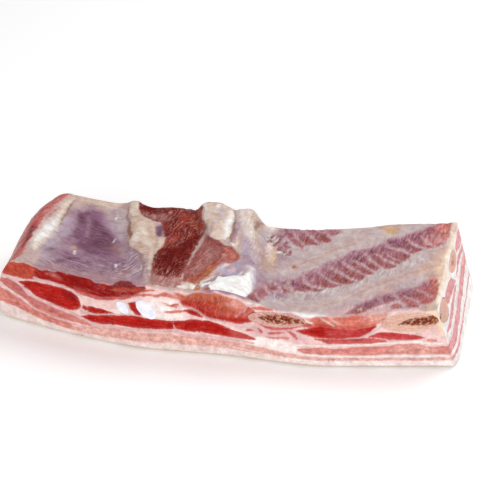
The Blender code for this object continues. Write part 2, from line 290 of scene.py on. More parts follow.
class Paint:
    """The layers of a set of places, given by two coordinates on their face."""

    def __init__(self, x, y, base, soft=0.5, streak=0.25):
        self.x, self.y = x, y
        self.base, lean, pale = (
            np.broadcast_to(np.array(TINTS[name]), x.shape + (3,)).copy() for name in (base, "red", "fat"))
        self.tint = {"lean": lean, "pale": pale}
        self.depth = {"lean": np.full(x.shape, -FAR), "pale": np.full(x.shape, -FAR)}
        self.seam = np.full(x.shape, -FAR)
        self.soft = np.full(x.shape, soft)       # width of the edges in mm
        self.streak = np.full(x.shape, streak)   # strength of the pale strokes in lean
        self.wisp = np.full(x.shape, WISP)       # and of those in the base
        self.grain = np.stack([x, y], -1)

    def only(self, keep):
        """The same layers on some of the places."""
        part = object.__new__(Paint)
        for name, values in self.__dict__.items():
            if isinstance(values, dict):
                part.__dict__[name] = {key: value[keep] for key, value in values.items()}
            else:
                part.__dict__[name] = values[keep]
        return part

    def share(self, soft, shape, amount=1.0):
        """How much a softly edged shape covers each place."""
        return amount * smooth(0.5 + depth_in(self.x, self.y, shape) / soft)

    def wash(self, tint, soft, *shape, amount=1.0):
        """Blends a tint softly into the base."""
        share = self.share(soft, shape, amount)[..., None]
        self.base = self.base * (1 - share) + np.array(TINTS[tint]) * share

    def lay(self, layer, tint, shape):
        """Lays tissue with a crisp edge."""
        depth = depth_in(self.x, self.y, shape)
        share = smooth(0.5 + (depth - np.maximum(self.depth[layer], -CRISP)) / CRISP)[..., None]
        share = np.where(depth[..., None] > -CRISP, share, 0.0)
        self.tint[layer] = self.tint[layer] * (1 - share) + np.array(TINTS[tint]) * share
        self.depth[layer] = np.maximum(self.depth[layer], depth)

    def lean(self, tint, *shape):
        """Lays lean."""
        self.lay("lean", tint, shape)

    def pale(self, tint, *shape):
        """Lays fat or gristle, which covers the lean."""
        self.lay("pale", tint, shape)

    def over(self, layer, tint, share):
        """Changes the tint of a layer without changing where it is."""
        share = share[..., None]
        self.tint[layer] = self.tint[layer] * (1 - share) + np.array(TINTS[tint]) * share

    def stain(self, tint, soft, *shape, amount=1.0):
        """Changes the tint of the lean."""
        self.over("lean", tint, self.share(soft, shape, amount))

    def tone(self, tint, soft, *shape, amount=1.0):
        """Changes the tint of the fat and gristle."""
        self.over("pale", tint, self.share(soft, shape, amount))

    def bare(self, layer, *shape):
        """Takes a layer away inside a shape."""
        self.depth[layer] = np.minimum(self.depth[layer], -depth_in(self.x, self.y, shape))

    def turn(self, quality, value, soft, *shape):
        """Blends one of the qualities soft, streak and wisp towards a value."""
        share = self.share(soft, shape)
        setattr(self, quality, getattr(self, quality) * (1 - share) + value * share)

    def crease(self, *shape):
        """A thin brown line, painted shade in a crease or along the foot of an edge."""
        self.seam = np.maximum(self.seam, depth_in(self.x, self.y, shape))

    def run(self, degrees, *shape):
        """Sets the direction of the grain inside a shape."""
        along, across = turned(self.x, self.y, degrees)
        inside = (depth_in(self.x, self.y, shape) > 0)[..., None]
        self.grain = np.where(inside, np.stack([along, across], -1), self.grain)


def strewn(count, corner, size, tints, shift=0.0):
    """Places spread evenly over a box by a fixed rule, with the tints in turn."""
    for i in range(count):
        x = corner[0] + size[0] * ((0.618 * i) % 1.0)
        y = corner[1] + size[1] * ((0.382 * i + shift) % 1.0)
        yield tints[i % len(tints)], x, y


def front_upper_lean(p):
    """The upper lean of the front cut, from the left tip to the band of fat."""
    p.lean("ember", (-156, 37, 3), (-147, 38.6, 4.6), (-139, 40, 6), (-131, 41, 5))
    p.lean("dark", (-131, 41.5, 3.4), (-123, 41.6, 4.2), (-112, 41.5, 5), (-100, 41, 6.4),
           (-88, 40.5, 6.6), (-79, 42.5, 6), (-71, 45, 7), (-64, 46, 3.5))
    p.lean("rose", (-115, 37, 0.8), (-103, 35.2, 1.7), (-90, 34.3, 1.9), (-78, 35.4, 2), (-70, 38.6, 1.6),
           (-61, 41.5, 0.9))
    p.stain("red", 4, (-126, 42, 1), (-118, 39.5, 1.2), (-108, 38, 1), amount=0.8)
    p.stain("maroon", 4, (-80, 44, 3), (-72, 46, 3), (-64, 46, 2), amount=0.6)
    p.stain("orange", 3, (-80, 41.5, 0.8), (-72, 42.5, 1), (-64, 44, 0.8), amount=0.8)
    p.lean("orange", (-72, 42.8, 1), (-63, 44.4, 0.9), (-56, 45.2, 0.5))
    p.lean("coral", (-86, 36.5, 0.8), (-74, 38.8, 1), (-62, 41.6, 0.8), (-52, 42.4, 0.4))
    p.stain("pink", 3, (-121.5, 42.5, 0.3), (-117, 42.5, 1.2), (-113, 40.5, 0.4), amount=0.6)
    p.stain("rose", 3, (-104, 37.5, 0.4), (-97, 36.5, 0.8), amount=0.6)
    for tint, x, y in strewn(16, (-96, 36.5), (29, 7), ("brown", "ember", "plum", "rose")):
        p.stain(tint, 1, (x, y - 1.6, 0.1), (x + 0.4, y + 1.6, 0.3), amount=0.7)
    p.turn("streak", 0.4, 5, (-96, 38, 2), (-80, 40, 4), (-62, 45, 3))
    p.turn("streak", 0.08, 4, (-122, 42, 3), (-100, 43, 4), (-86, 43, 3))


def front_left_lean(p):
    """The second lean, and the pink lean between the white lines and under them."""
    p.lean("red", (-139.5, 31.4, 0.4), (-134, 30.9, 3), (-127, 29.8, 5.8), (-117, 28.2, 7),
           (-109, 27.5, 7.2), (-106, 26.8, 5.2))
    p.stain("dark", 5, (-106, 30, 2.5), (-110, 31, 2))
    # pink lean between the white lines, and under them
    p.lean("blush", (-152, 30, 1.6), (-147, 28.5, 3.4), (-139, 25, 3.8))
    p.lean("pink", (-139, 25, 3.4), (-130, 18.5, 3.9), (-120, 15.5, 3.6), (-110, 14, 3.2),
           (-101, 12.8, 2), (-95.5, 11.8, 0.5))
    p.stain("blush", 4, (-150, 29, 2), (-142, 26, 3), (-132, 19.5, 3), (-122, 16.5, 2.5), (-112, 14.5, 2),
            amount=0.75)
    p.lean("pink", (-160, 19, 6), (-150, 17.5, 5.2), (-140, 14, 4), (-130, 10.3, 3.2), (-120, 8.2, 2.7),
           (-108, 7, 2.5))
    p.stain("coral", 5, (-156, 19, 3), (-142, 14.5, 3), (-128, 9.5, 2), (-112, 7.5, 1.5), amount=0.4)
    p.lean("salmon", (-108, 7, 2.5), (-98, 7.4, 2.8), (-89, 8.6, 3.6), (-72, 9.3, 3.8), (-56, 10.2, 3.8),
           (-46, 10.6, 3.7), (-43, 11, 2.2), (-40, 10.2, 3.3), (-30, 10.2, 3.2), (-18, 10.8, 2.6))
    p.lean("salmon", (-18, 11, 2.3), (-8, 10.6, 1.8), (0, 9.8, 1.9), (9, 8.6, 1.7), (20, 7.6, 1.4),
           (34, 6.7, 1.3), (60, 6.7, 1.15), (90, 6.9, 1.1), (124, 7.2, 1.1))
    p.stain("gristle", 4, (30, 6.7, 1), (124, 7.2, 1), amount=0.6)
    p.lean("salmon", (-20, 7.6, 0.7), (-8, 7.2, 0.6), (6, 6.3, 0.5))


def front_middle_lean(p):
    """The small lean by the cartilage, the long lean, and streaks in the pinkish fat."""
    p.lean("red", (-98.6, 24.6, 1.9), (-98.2, 24.4, 1.7))
    p.lean("red", (-95, 24.2, 2.6), (-88, 23.6, 2.3), (-82, 23.2, 1.5))
    p.lean("red", (-70, 35.5, 2), (-68.3, 31, 2.7), (-66, 27.6, 2))
    # long lean
    p.lean("red", (-102, 17.2, 0.2), (-95.5, 17.3, 2.7), (-89, 18, 3.7), (-84.6, 18.7, 3.6))
    p.lean("red", (-81.4, 19, 3.4), (-74, 20.3, 4.3), (-66, 21, 4.7), (-56, 20.8, 4.1),
           (-46.5, 21.4, 3.3))
    p.lean("red", (-44.5, 22, 2.9), (-38, 21.4, 3.9), (-31, 22.2, 4.7), (-25, 22, 4.9), (-18, 20.6, 4),
           (-10, 18.8, 3), (-4, 17.7, 2.2), (3, 16.9, 0.7))
    p.stain("rose", 8, (-8, 19, 3), (4, 16, 3), amount=0.7)
    # streaks in the pinkish fat
    p.lean("coral", (-57, 41, 0.4), (-50, 43, 1.3), (-43, 41, 0.8))
    p.wash("gristle", 6, (-56, 43, 3), (-46, 42, 3), (-42, 34, 2), amount=0.5)
    p.wash("lard", 5, (-60, 34, 2), (-52, 36, 4), (-45, 35, 3), amount=0.85)
    p.lean("coral", (-50, 30.4, 0.5), (-46, 30.6, 1.3), (-42, 31.6, 1), (-38, 32, 0.7))
    p.lean("coral", (-52, 37, 0.2), (-46, 35, 0.8), (-42, 36.5, 0.8), (-44, 33.4, 0.2))


def front_orange_muscle(p):
    """The orange muscle right of the cartilage."""
    p.lean("coral", (-44, 45, 0.5), (-40, 41, 2.6), (-36.5, 39, 4.2), (-31, 39, 7), (-24, 37.5, 9),
           (-15, 35.5, 9), (-8, 34.5, 8.2), (-3, 34, 6))
    p.stain("amber", 6, (-42, 44, 2), (-34, 42, 4), (-24, 41, 5), (-14, 39, 4), amount=0.9)
    p.stain("red", 6, (-39, 38, 1.5), (-32, 36, 3.5), (-26, 35, 5), (-22, 33, 3))
    p.stain("red", 6, (-24, 30, 2), (-14, 28.5, 2.5), (-8, 28.5, 3.2), (-2, 28.5, 2.5))
    p.stain("ember", 5, (-30, 38, 3), (-18, 34, 4), (-10, 33, 3), amount=0.6)
    p.stain("salmon", 6, (-12, 39.5, 1), (-9, 40, 1.8), (-5, 40.5, 1.2), amount=0.7)
    p.stain("red", 2.5, (-6, 33, 0.6), (-3, 36.5, 0.9), (0.5, 40, 0.8))
    p.stain("dark", 5, (-4.5, 29.5, 1.5), amount=0.5)
    p.lean("red", (-38, 33, 0.8), (-33, 31.5, 2.1), (-28, 29.5, 0.8))
    p.pale("ivory", (-2, 42, 0.8), (8, 42.6, 1), (18, 42.2, 0.9), (28, 41.2, 1.2), (36, 40.8, 0.7))


def front_right_lean(p):
    """The lean round the first rib and between the ribs, and the pink band under it."""
    p.lean("coral", (2, 38.8, 0.7), (7, 39.8, 1.3), (13, 39.4, 0.6))
    p.lean("rose", (-2, 22.6, 0.9), (1, 23.4, 1))
    p.lean("rose", (5, 24.5, 0.8), (6, 22.8, 1.3))
    p.lean("rose", (11, 22.6, 0.8), (15, 23.6, 1), (20, 24.4, 0.4))
    p.lean("rose", (3.5, 29.5, 0.4), (8, 27.2, 0.9), (14, 26.2, 0.9), (22, 27.2, 0.8), (30, 30, 0.5))
    p.lean("pink", (9, 19.3, 0.4), (15, 19.9, 0.8), (21.5, 20.6, 1))
    p.lean("rose", (22.5, 25.5, 0.7), (25.5, 23, 1.2), (27, 21, 0.6))
    # large lean between the ribs
    p.lean("coral", (32, 32.5, 3), (40, 33.5, 4.5), (50, 33.5, 6), (60, 34, 6.6), (68, 36, 5.6),
           (76, 39.4, 3))
    p.lean("red", (26.5, 26.4, 0.3), (32, 26.2, 2.3), (41, 27.4, 5), (52, 26.4, 4), (62, 26.6, 3.2),
           (69, 29, 2.4), (72, 31.5, 0.8))
    p.stain("crimson", 7, (48, 26, 3), (66, 27, 3), amount=0.7)
    p.stain("rose", 6, (46, 27, 2), (56, 27.5, 2), amount=0.4)
    p.stain("red", 4, (32, 31, 1), (38, 32, 1.5), (45, 31, 2), amount=0.6)
    p.stain("salmon", 7, (66, 39, 2), (74, 37.5, 3.5), (80, 41, 3), amount=0.75)
    p.lean("rose", (38, 22, 0.4), (46, 20.6, 1.8), (58, 20.7, 2.2), (70, 21, 2.2), (78.5, 20.7, 1.3))
    p.stain("crimson", 4, (44, 21, 1), (60, 21.4, 1), (70, 21.6, 0.8), amount=0.6)
    p.lean("crimson", (70, 24.2, 0.8), (76, 24.9, 2.1), (84, 24.5, 2.6), (92, 23.6, 2.3), (98, 23.2, 1.6),
           (101, 23.2, 0.6))
    p.stain("red", 4, (78, 25, 1), (88, 24.5, 1), amount=0.35)
    p.lean("pink", (104, 21.6, 1), (108.5, 21.2, 0.7))
    # pink band
    p.lean("pink", (28.5, 12.6, 0.6), (34, 12.8, 2.4), (42, 12.9, 2.9), (49, 12.7, 2.2))
    p.lean("pink", (51.4, 13, 2.4), (60, 13, 3.1), (72, 13.3, 3.2), (80, 13.7, 3.1), (86, 14.5, 3.8),
           (95, 14.8, 4), (103, 14.2, 3.1), (110, 13.8, 2.7), (124, 14.2, 3.3))
    p.stain("salmon", 6, (84, 14, 2), (90, 14.5, 3), (106, 14.2, 3), amount=0.6)


def front_fibres(p):
    """How soft and how streaked the lean of the front cut is."""
    p.turn("soft", 2.6, 5, (-44, 42, 3), (-30, 40, 6), (-14, 38, 6), (-2, 36, 4))
    p.turn("soft", 2.2, 5, (34, 34, 3), (54, 36, 4), (78, 40, 3))
    p.turn("streak", 0.55, 5, (-44, 42, 3), (-30, 40, 7), (-10, 36, 6))
    p.run(75, (-46, 26), (-46, 48), (2, 44), (2, 24))


def front_white_lines(p):
    """The lines of fat and gristle between the layers."""
    p.pale("gristle", (-129, 37.4, 1.2), (-124, 37.3, 1), (-112, 36.2, 0.9), (-106, 35.2, 1),
           (-101, 32.5, 1.2))
    p.pale("pinkfat", (-101, 29.6, 1.2), (-95, 29.6, 2), (-88, 29.9, 2.7), (-81, 31, 3.1), (-74, 35, 1.2),
           (-64, 39, 1.5))
    p.pale("gristle", (-154, 35, 0.5), (-147, 32.8, 0.6), (-140, 30, 0.7), (-134, 24.7, 0.8),
           (-128, 21.8, 0.8), (-118, 20.1, 0.8), (-107, 18.6, 0.8), (-101, 16.2, 0.9), (-96, 13.9, 1.1),
           (-88, 13.2, 0.8), (-76, 14, 0.7), (-62, 15.6, 0.6), (-50, 16.3, 0.7), (-45, 17.6, 1),
           (-40, 15.8, 1.1), (-33, 14.3, 0.9), (-24, 15.2, 0.8), (-12, 14.4, 0.8), (2, 13.6, 0.9))
    p.pale("gristle", (-151, 25, 0.4), (-145, 21.3, 0.6), (-137, 16.8, 0.6), (-130, 13.3, 0.7),
           (-125, 11.7, 0.6), (-114, 10.1, 0.5), (-104, 9.3, 0.5), (-96, 9.9, 0.4))
    p.pale("gristle", (-101, 21.5, 0.8), (-97, 20.2, 0.5), (-88, 21.9, 0.4), (-80, 23.6, 0.6),
           (-73, 25.6, 0.4), (-64, 26.3, 0.5))
    p.pale("lard", (-54, 28, 2.3), (-46, 28, 1.8), (-38, 28.7, 0.7))
    p.pale("gristle", (-45.5, 23.5, 0.2), (-44.5, 19, 0.5))
    p.pale("gristle", (-40, 35.5, 0.3), (-35, 34.8, 0.7), (-31, 33.2, 0.6), (-26, 29.4, 0.5),
           (-15, 26.7, 0.5), (-4, 24.6, 0.5), (4, 24, 0.9))
    p.pale("gristle", (-8.5, 31, 0.3), (-5, 35, 0.4), (0, 41, 0.4))
    p.pale("gristle", (81.5, 37.5, 0.6), (77, 33, 0.7), (74, 29, 0.5), (70, 26.2, 0.5), (65, 23.4, 0.5),
           (56, 22.8, 0.3))
    p.pale("fat", (41, 37, 0.3), (45, 34, 0.5), (49, 31.6, 0.2))
    p.pale("fat", (46, 37.5, 0.2), (49, 34.6, 0.4), (53, 32.4, 0.1))
    p.pale("fat", (31.5, 35, 1.1), (34.5, 33, 1.1), (36, 31.4, 0.3))
    p.pale("fat", (-43, 8.4, 0.4), (-42.5, 5.6, 1.4))
    p.pale("lard", (4, 17.8, 1.4), (14, 16.8, 1.2), (30, 16.8, 0.7), (50, 17.3, 0.5), (70, 18.2, 0.5),
           (84, 20, 0.9), (96, 20.2, 0.9), (112, 18.8, 0.7))
    p.pale("lard", (24, 10.2, 0.7), (50, 9, 0.8), (80, 9.1, 0.8), (124, 9.6, 0.8))


def paint_front(s, z):
    """The front cut, by s and z."""
    x = s + 0.8 * wander(s, z * 2, 9, 11)
    y = z + 0.45 * wander(s, z * 2, 7, 12)
    p = Paint(x, y, "pinkfat", soft=1.1, streak=0.22)
    p.wash("fat", 5, (-160, 5, 8), (-140, 4, 6), (-100, 1, 4), (-20, 2, 5), (60, 2, 5), (120, 2, 6))
    p.wash("lard", 5, (2, 15, 3), (16, 15, 5), (28, 12, 2))
    p.wash("gristle", 5, (2, 24, 4), (16, 24, 4.5), (30, 23, 4))
    p.wash("butter", 5, (103, 42, 2.5), (109, 36, 3), (112, 28, 2))
    p.wash("lard", 6, (26, 3, 4), (60, 3, 4), (120, 3, 4))
    p.wash("lard", 7, (-56, 40, 3), (-50, 34, 6), (-40, 36, 4), (-40, 28, 3))
    p.wash("fat", 6, (-100, 31, 3), (-84, 31, 4), (-58, 26, 4))
    for part in (front_upper_lean, front_left_lean, front_middle_lean, front_orange_muscle,
                 front_right_lean, front_fibres, front_white_lines):
        part(p)
    return p


def paint_back(s, z):
    """The back cut, by s and z: the same layers, further into the belly."""
    x = s + 0.9 * wander(s, z * 2, 10, 31)
    y = z + 0.5 * wander(s, z * 2, 7, 32)
    p = Paint(x, y, "pinkfat")
    p.wash("fat", 5, (-140, 3, 6), (-60, 3, 6), (40, 4, 8), (145, 6, 10))
    p.lean("orange", (-133, 38, 2), (-122, 40, 4.5), (-108, 40.5, 5))
    p.lean("dark", (-110, 41, 4.5), (-96, 40.5, 5.6), (-80, 41.5, 5.4), (-66, 43, 4.8), (-56, 44.5, 2))
    p.lean("rose", (-104, 35, 1.4), (-90, 34.4, 2), (-76, 36, 1.4), (-62, 38.6, 0.6))
    p.lean("maroon", (-66, 46, 1.5), (-56, 46.5, 3), (-44, 45.5, 4), (-36, 45, 2.5))
    p.lean("red", (-128, 29, 0.6), (-118, 29, 4), (-106, 28, 5.4), (-94, 27.4, 4.6), (-88, 27, 1))
    p.lean("red", (-84, 26, 0.6), (-74, 27, 3.4), (-62, 29, 4.6), (-52, 31, 4.2), (-42, 33, 2.2),
           (-36, 34.5, 0.6))
    p.lean("red", (-92, 18.6, 0.4), (-80, 18.6, 3.2), (-62, 19.5, 4.2), (-48, 21, 4.2), (-30, 22, 4.8),
           (-12, 21.6, 4.2), (4, 20, 2.4), (14, 18.6, 0.4))
    p.lean("coral", (-32, 38, 2), (-22, 38, 4.6), (-10, 36.5, 4.8), (0, 35, 3))
    p.lean("coral", (8, 33, 2.2), (18, 33, 4.2), (30, 33, 5), (44, 33.6, 5.4), (58, 34.6, 5),
           (72, 37, 3.4), (80, 39.5, 1.6))
    p.lean("red", (16, 27.5, 0.6), (28, 27.4, 3), (42, 27.8, 3.6), (56, 28.4, 3.2), (70, 30, 1.6))
    p.lean("rose", (104, 38, 2), (114, 38, 4.6), (126, 37, 5), (134, 35, 3.4))
    p.lean("red", (78, 27, 0.8), (92, 28, 2.2), (108, 29, 2.8), (124, 29, 3.4), (138, 28, 3))
    p.lean("pink", (-142, 20, 4), (-128, 17.5, 4.2), (-112, 14.6, 3.6), (-96, 13, 2.4), (-84, 12.4, 0.6))
    p.lean("salmon", (-146, 10, 3), (-120, 8.6, 2.6), (-90, 8.4, 2.8), (-60, 10.4, 3.6), (-30, 11.4, 3.4),
           (0, 11, 2.4), (30, 10, 1.4), (90, 12, 1.2), (145, 16, 1.2))
    p.lean("pink", (18, 17, 0.6), (32, 17, 2.6), (56, 17.6, 3), (80, 18.8, 3.2), (104, 20.6, 3.4),
           (126, 21.6, 3.8), (142, 22, 4))
    p.pale("gristle", (-134, 34, 0.6), (-118, 34.4, 0.9), (-104, 33.2, 0.8), (-92, 31.8, 1.4),
           (-78, 32.6, 1.6), (-64, 35.4, 1.2), (-50, 38.6, 1.2), (-40, 40.2, 0.9))
    p.pale("gristle", (-136, 24.6, 0.6), (-122, 22.6, 0.8), (-106, 21, 0.8), (-92, 16.4, 0.8),
           (-76, 14.8, 0.8), (-54, 15.4, 0.7), (-28, 16.4, 0.8), (0, 16, 0.9), (18, 14.4, 0.8))
    p.pale("gristle", (-34, 33, 0.8), (-18, 30.4, 0.6), (0, 27.6, 0.7), (14, 25, 0.9), (40, 23.2, 0.6),
           (64, 24, 0.7), (90, 24.8, 0.7), (140, 25.6, 0.7))
    p.pale("lard", (20, 13.4, 0.7), (60, 13.6, 0.8), (100, 16, 0.8), (145, 17.8, 0.8))
    return p


def paint_left(t, z):
    """The left cut, by t and z."""
    x = t + 0.9 * wander(t, z * 2, 9, 41)
    y = z + 0.5 * wander(t, z * 2, 7, 42)
    p = Paint(x, y, "pinkfat", soft=1.0, streak=0.45)
    p.wash("fat", 5, (-5, 5, 8), (92, 3, 6))
    p.lean("pink", (-6, 43, 8), (8, 44, 9), (22, 42, 11), (40, 41, 12), (56, 41, 11), (74, 42, 10),
           (94, 43, 10))
    p.stain("ember", 7, (-6, 40, 8), (8, 40, 5), (16, 41, 2), amount=0.85)
    p.stain("rose", 6, (20, 42, 2), (30, 42, 3), (50, 42, 3), (70, 42, 3), (88, 42, 3), amount=0.8)
    # Painted shade: dark red lines just under the upper edge, in the crevice along it.
    p.stain("crimson", 2.6, (0, 42.5, 0.5), (10, 43, 1.2), (17, 43.4, 1.3), (28, 43.2, 1.5),
            (38, 43.2, 1.7), (50, 42.4, 1))
    p.stain("liver", 1.8, (18, 43.4, 0.3), (26, 43.4, 0.7), (34, 43.3, 1.2), (40, 43.1, 1.1),
            (44, 43, 0.2), amount=0.9)
    p.stain("crimson", 2.2, (58, 42.6, 0.3), (71, 42.2, 1), (82, 42.2, 0.7), amount=0.85)
    p.lean("rose", (-4, 28.5, 3.6), (12, 26.4, 3.4), (24, 24.4, 3.2), (36, 23.6, 3.4), (60, 24.4, 3.6),
           (92, 26, 4))
    p.lean("pink", (-4, 18, 5.4), (20, 15.4, 4.2), (46, 14.6, 3.8), (70, 14.6, 4.2), (92, 16.4, 4.4))
    p.lean("salmon", (18, 8, 0.5), (40, 8, 1.2), (66, 8, 1.6), (92, 8, 2))
    p.pale("gristle", (-4, 33.2, 0.8), (12, 31.4, 0.9), (24, 29, 0.9), (46, 28, 0.8), (70, 29.2, 0.9),
           (92, 31, 0.8))
    p.pale("gristle", (-4, 24.2, 0.7), (24, 20.4, 0.8), (50, 19.2, 0.7), (92, 21.4, 0.8))
    p.pale("shell", (24, 36, 0.3), (36, 37, 0.8), (50, 36.5, 0.3))
    p.pale("shell", (56, 40, 0.3), (66, 39.6, 0.9), (80, 40, 0.4))
    return p


def paint_right(t, z):
    """The right cut, by t and z, painted paler than the other cuts: painted light for the strong light on
    this end.
    """
    x = t + 0.9 * wander(t, z * 2, 9, 51)
    y = z + 0.5 * wander(t, z * 2, 7, 52)
    p = Paint(x, y, "chalk")
    p.wash("cream_highlight", 6, (-5, 40, 3), (92, 42, 4), amount=0.5)
    p.lean("lit_pink", (17, 35.5, 1.2), (24, 34, 3.6), (33, 33.5, 4.2), (41, 32, 3.4), (46, 29.6, 1.2))
    p.stain("pink", 6, (22, 31, 1.5), (40, 29, 1.5), amount=0.7)
    p.lean("lit_pink", (4, 24.4, 1.2), (14, 24.2, 2.2), (26, 25.4, 2), (38, 26.4, 1.2), (46, 26.6, 0.5))
    p.lean("lit_pink", (68, 38, 2.2), (76, 37.6, 4), (84, 37.4, 4.6), (92, 37, 4.6))
    p.lean("lit_pink", (52, 30, 0.8), (62, 31, 1.8), (74, 31, 1.6), (86, 30, 1.2))
    p.lean("lit_pink", (-5, 14.2, 3.3), (12, 14.8, 3.2), (30, 16.4, 3), (48, 18.8, 3.2), (66, 22, 3.4),
           (78, 24, 3.6), (92, 25, 3.8))
    p.lean("lit_pink", (-5, 7.2, 1.1), (26, 8, 1), (54, 9.6, 0.9), (92, 13, 0.9))
    p.pale("lard", (-5, 19.2, 1), (20, 20.2, 1), (44, 22.8, 1), (66, 27, 0.9), (92, 29.2, 0.8))
    return p


def film_on_the_left(p):
    """The film over the left end, purple where meat shows through."""
    p.wash("violet", 16, (-121, 22, 4), (-104, 18, 10), (-82, 22, 9), (-70, 26, 4), amount=0.8)
    p.wash("haze", 9, (-136, -2, 4), (-100, -1, 5.5), (-66, -1, 5))
    p.wash("pearl", 10, (-121, 40, 6), (-116, 54, 4), (-124, 22, 5), (-125, 10, 3))
    p.wash("cream", 12, (-111, 90), (-77, 90), (-77, 73), (-82, 62), (-91, 75), (-102, 79), (-112, 72))
    p.wash("lip", 8, (-79, 86, 2), (-78, 74, 2), amount=0.3)
    p.wash("grey", 10, (-82, 62, 4), (-78, 50, 3), (-84, 74, 6))
    p.wash("violet", 9, (-107, 67), (-102, 74), (-95, 73), (-88, 58), (-78, 46), (-74, 36), (-84, 28),
           (-104, 27), (-113, 38), (-110, 50))
    p.wash("violet", 6, (-107, 66), (-102, 71), (-96, 71), (-92, 62), (-89, 54), (-83, 45), (-84, 38),
           (-92, 34), (-102, 36), (-108, 40), (-110, 47), (-104, 53))
    p.wash("purple", 5, (-95, 44), (-88, 50), (-83.5, 45), (-84.5, 40), (-91, 36.5), (-97, 37), (-97, 41))
    p.wash("purple", 4, (-107, 69), (-103, 71), (-97, 65), (-92, 59), (-87, 52), (-82.5, 49), (-80, 40),
           (-74, 34), (-84, 31), (-99, 31), (-104, 36), (-109, 41), (-110, 49), (-106, 53), (-107, 60),
           amount=0.45)
    p.wash("purple", 5, (-97, 48, 2), (-92, 42, 4), (-86, 43, 2), amount=0.5)
    p.wash("purple", 4, (-97, 60, 1.5), (-93, 56, 2.5), (-90, 50, 2.5), amount=0.8)
    p.wash("purple", 3.5, (-106, 65, 1.5), (-104.5, 61, 2), (-102, 56, 1.2), amount=0.8)
    p.wash("purple", 4, (-100, 34, 2), (-95, 31, 2.5), (-90, 34, 2), amount=0.6)
    p.wash("lilac", 4, (-101, 66, 0.5), (-99.5, 60, 0.8), (-100, 52, 1), (-101, 46, 0.8), amount=0.7)
    p.wash("lilac", 4, (-111, 44, 1), (-107, 36, 1.5), (-104, 41, 0.6), amount=0.5)
    p.wash("pearl", 6, (-116, 66, 2), (-113, 56, 3.5), (-114, 46, 3), amount=0.7)
    p.wash("pearl", 7, (-88, 68, 2), (-84, 58, 3), (-79, 50, 2), amount=0.5)
    p.wash("purple", 2.5, (-110.5, 42.5, 1.3), amount=0.7)
    p.wash("purple", 3.5, (-101, 76, 0.6), (-96, 79, 0.8), amount=0.5)
    for x, y, long in ((-112, 16, 18), (-116, 12, 9), (-107, 20, 12), (-120, 24, 10), (-96, 20, 14),
                       (-86, 13, 12), (-100, 9, 10)):
        p.wash("purple", 4, (x - 0.4 * long, y - 0.36 * long, 0.2), (x, y, 1.5),
               (x + 0.4 * long, y + 0.36 * long, 0.2), amount=0.65)
    p.wash("haze", 7, (-118, 8, 3), (-112, 6, 3.5), (-104, 5, 3), (-84, 8, 4), (-72, 14, 4), amount=0.7)
    p.wash("lilac", 6, (-96, 24, 2), (-92, 16, 3), amount=0.6)
    p.wash("grey", 6, (-80, 42, 2), (-77, 35, 2.5), (-73, 28, 1.5), amount=0.55)
    p.wash("tan", 9, (-84, 40, 2), (-79, 34, 2), amount=0.3)
    p.wash("grey", 8, (-104, 29, 2), (-112, 33, 1.5), (-118, 28, 1.5), amount=0.6)


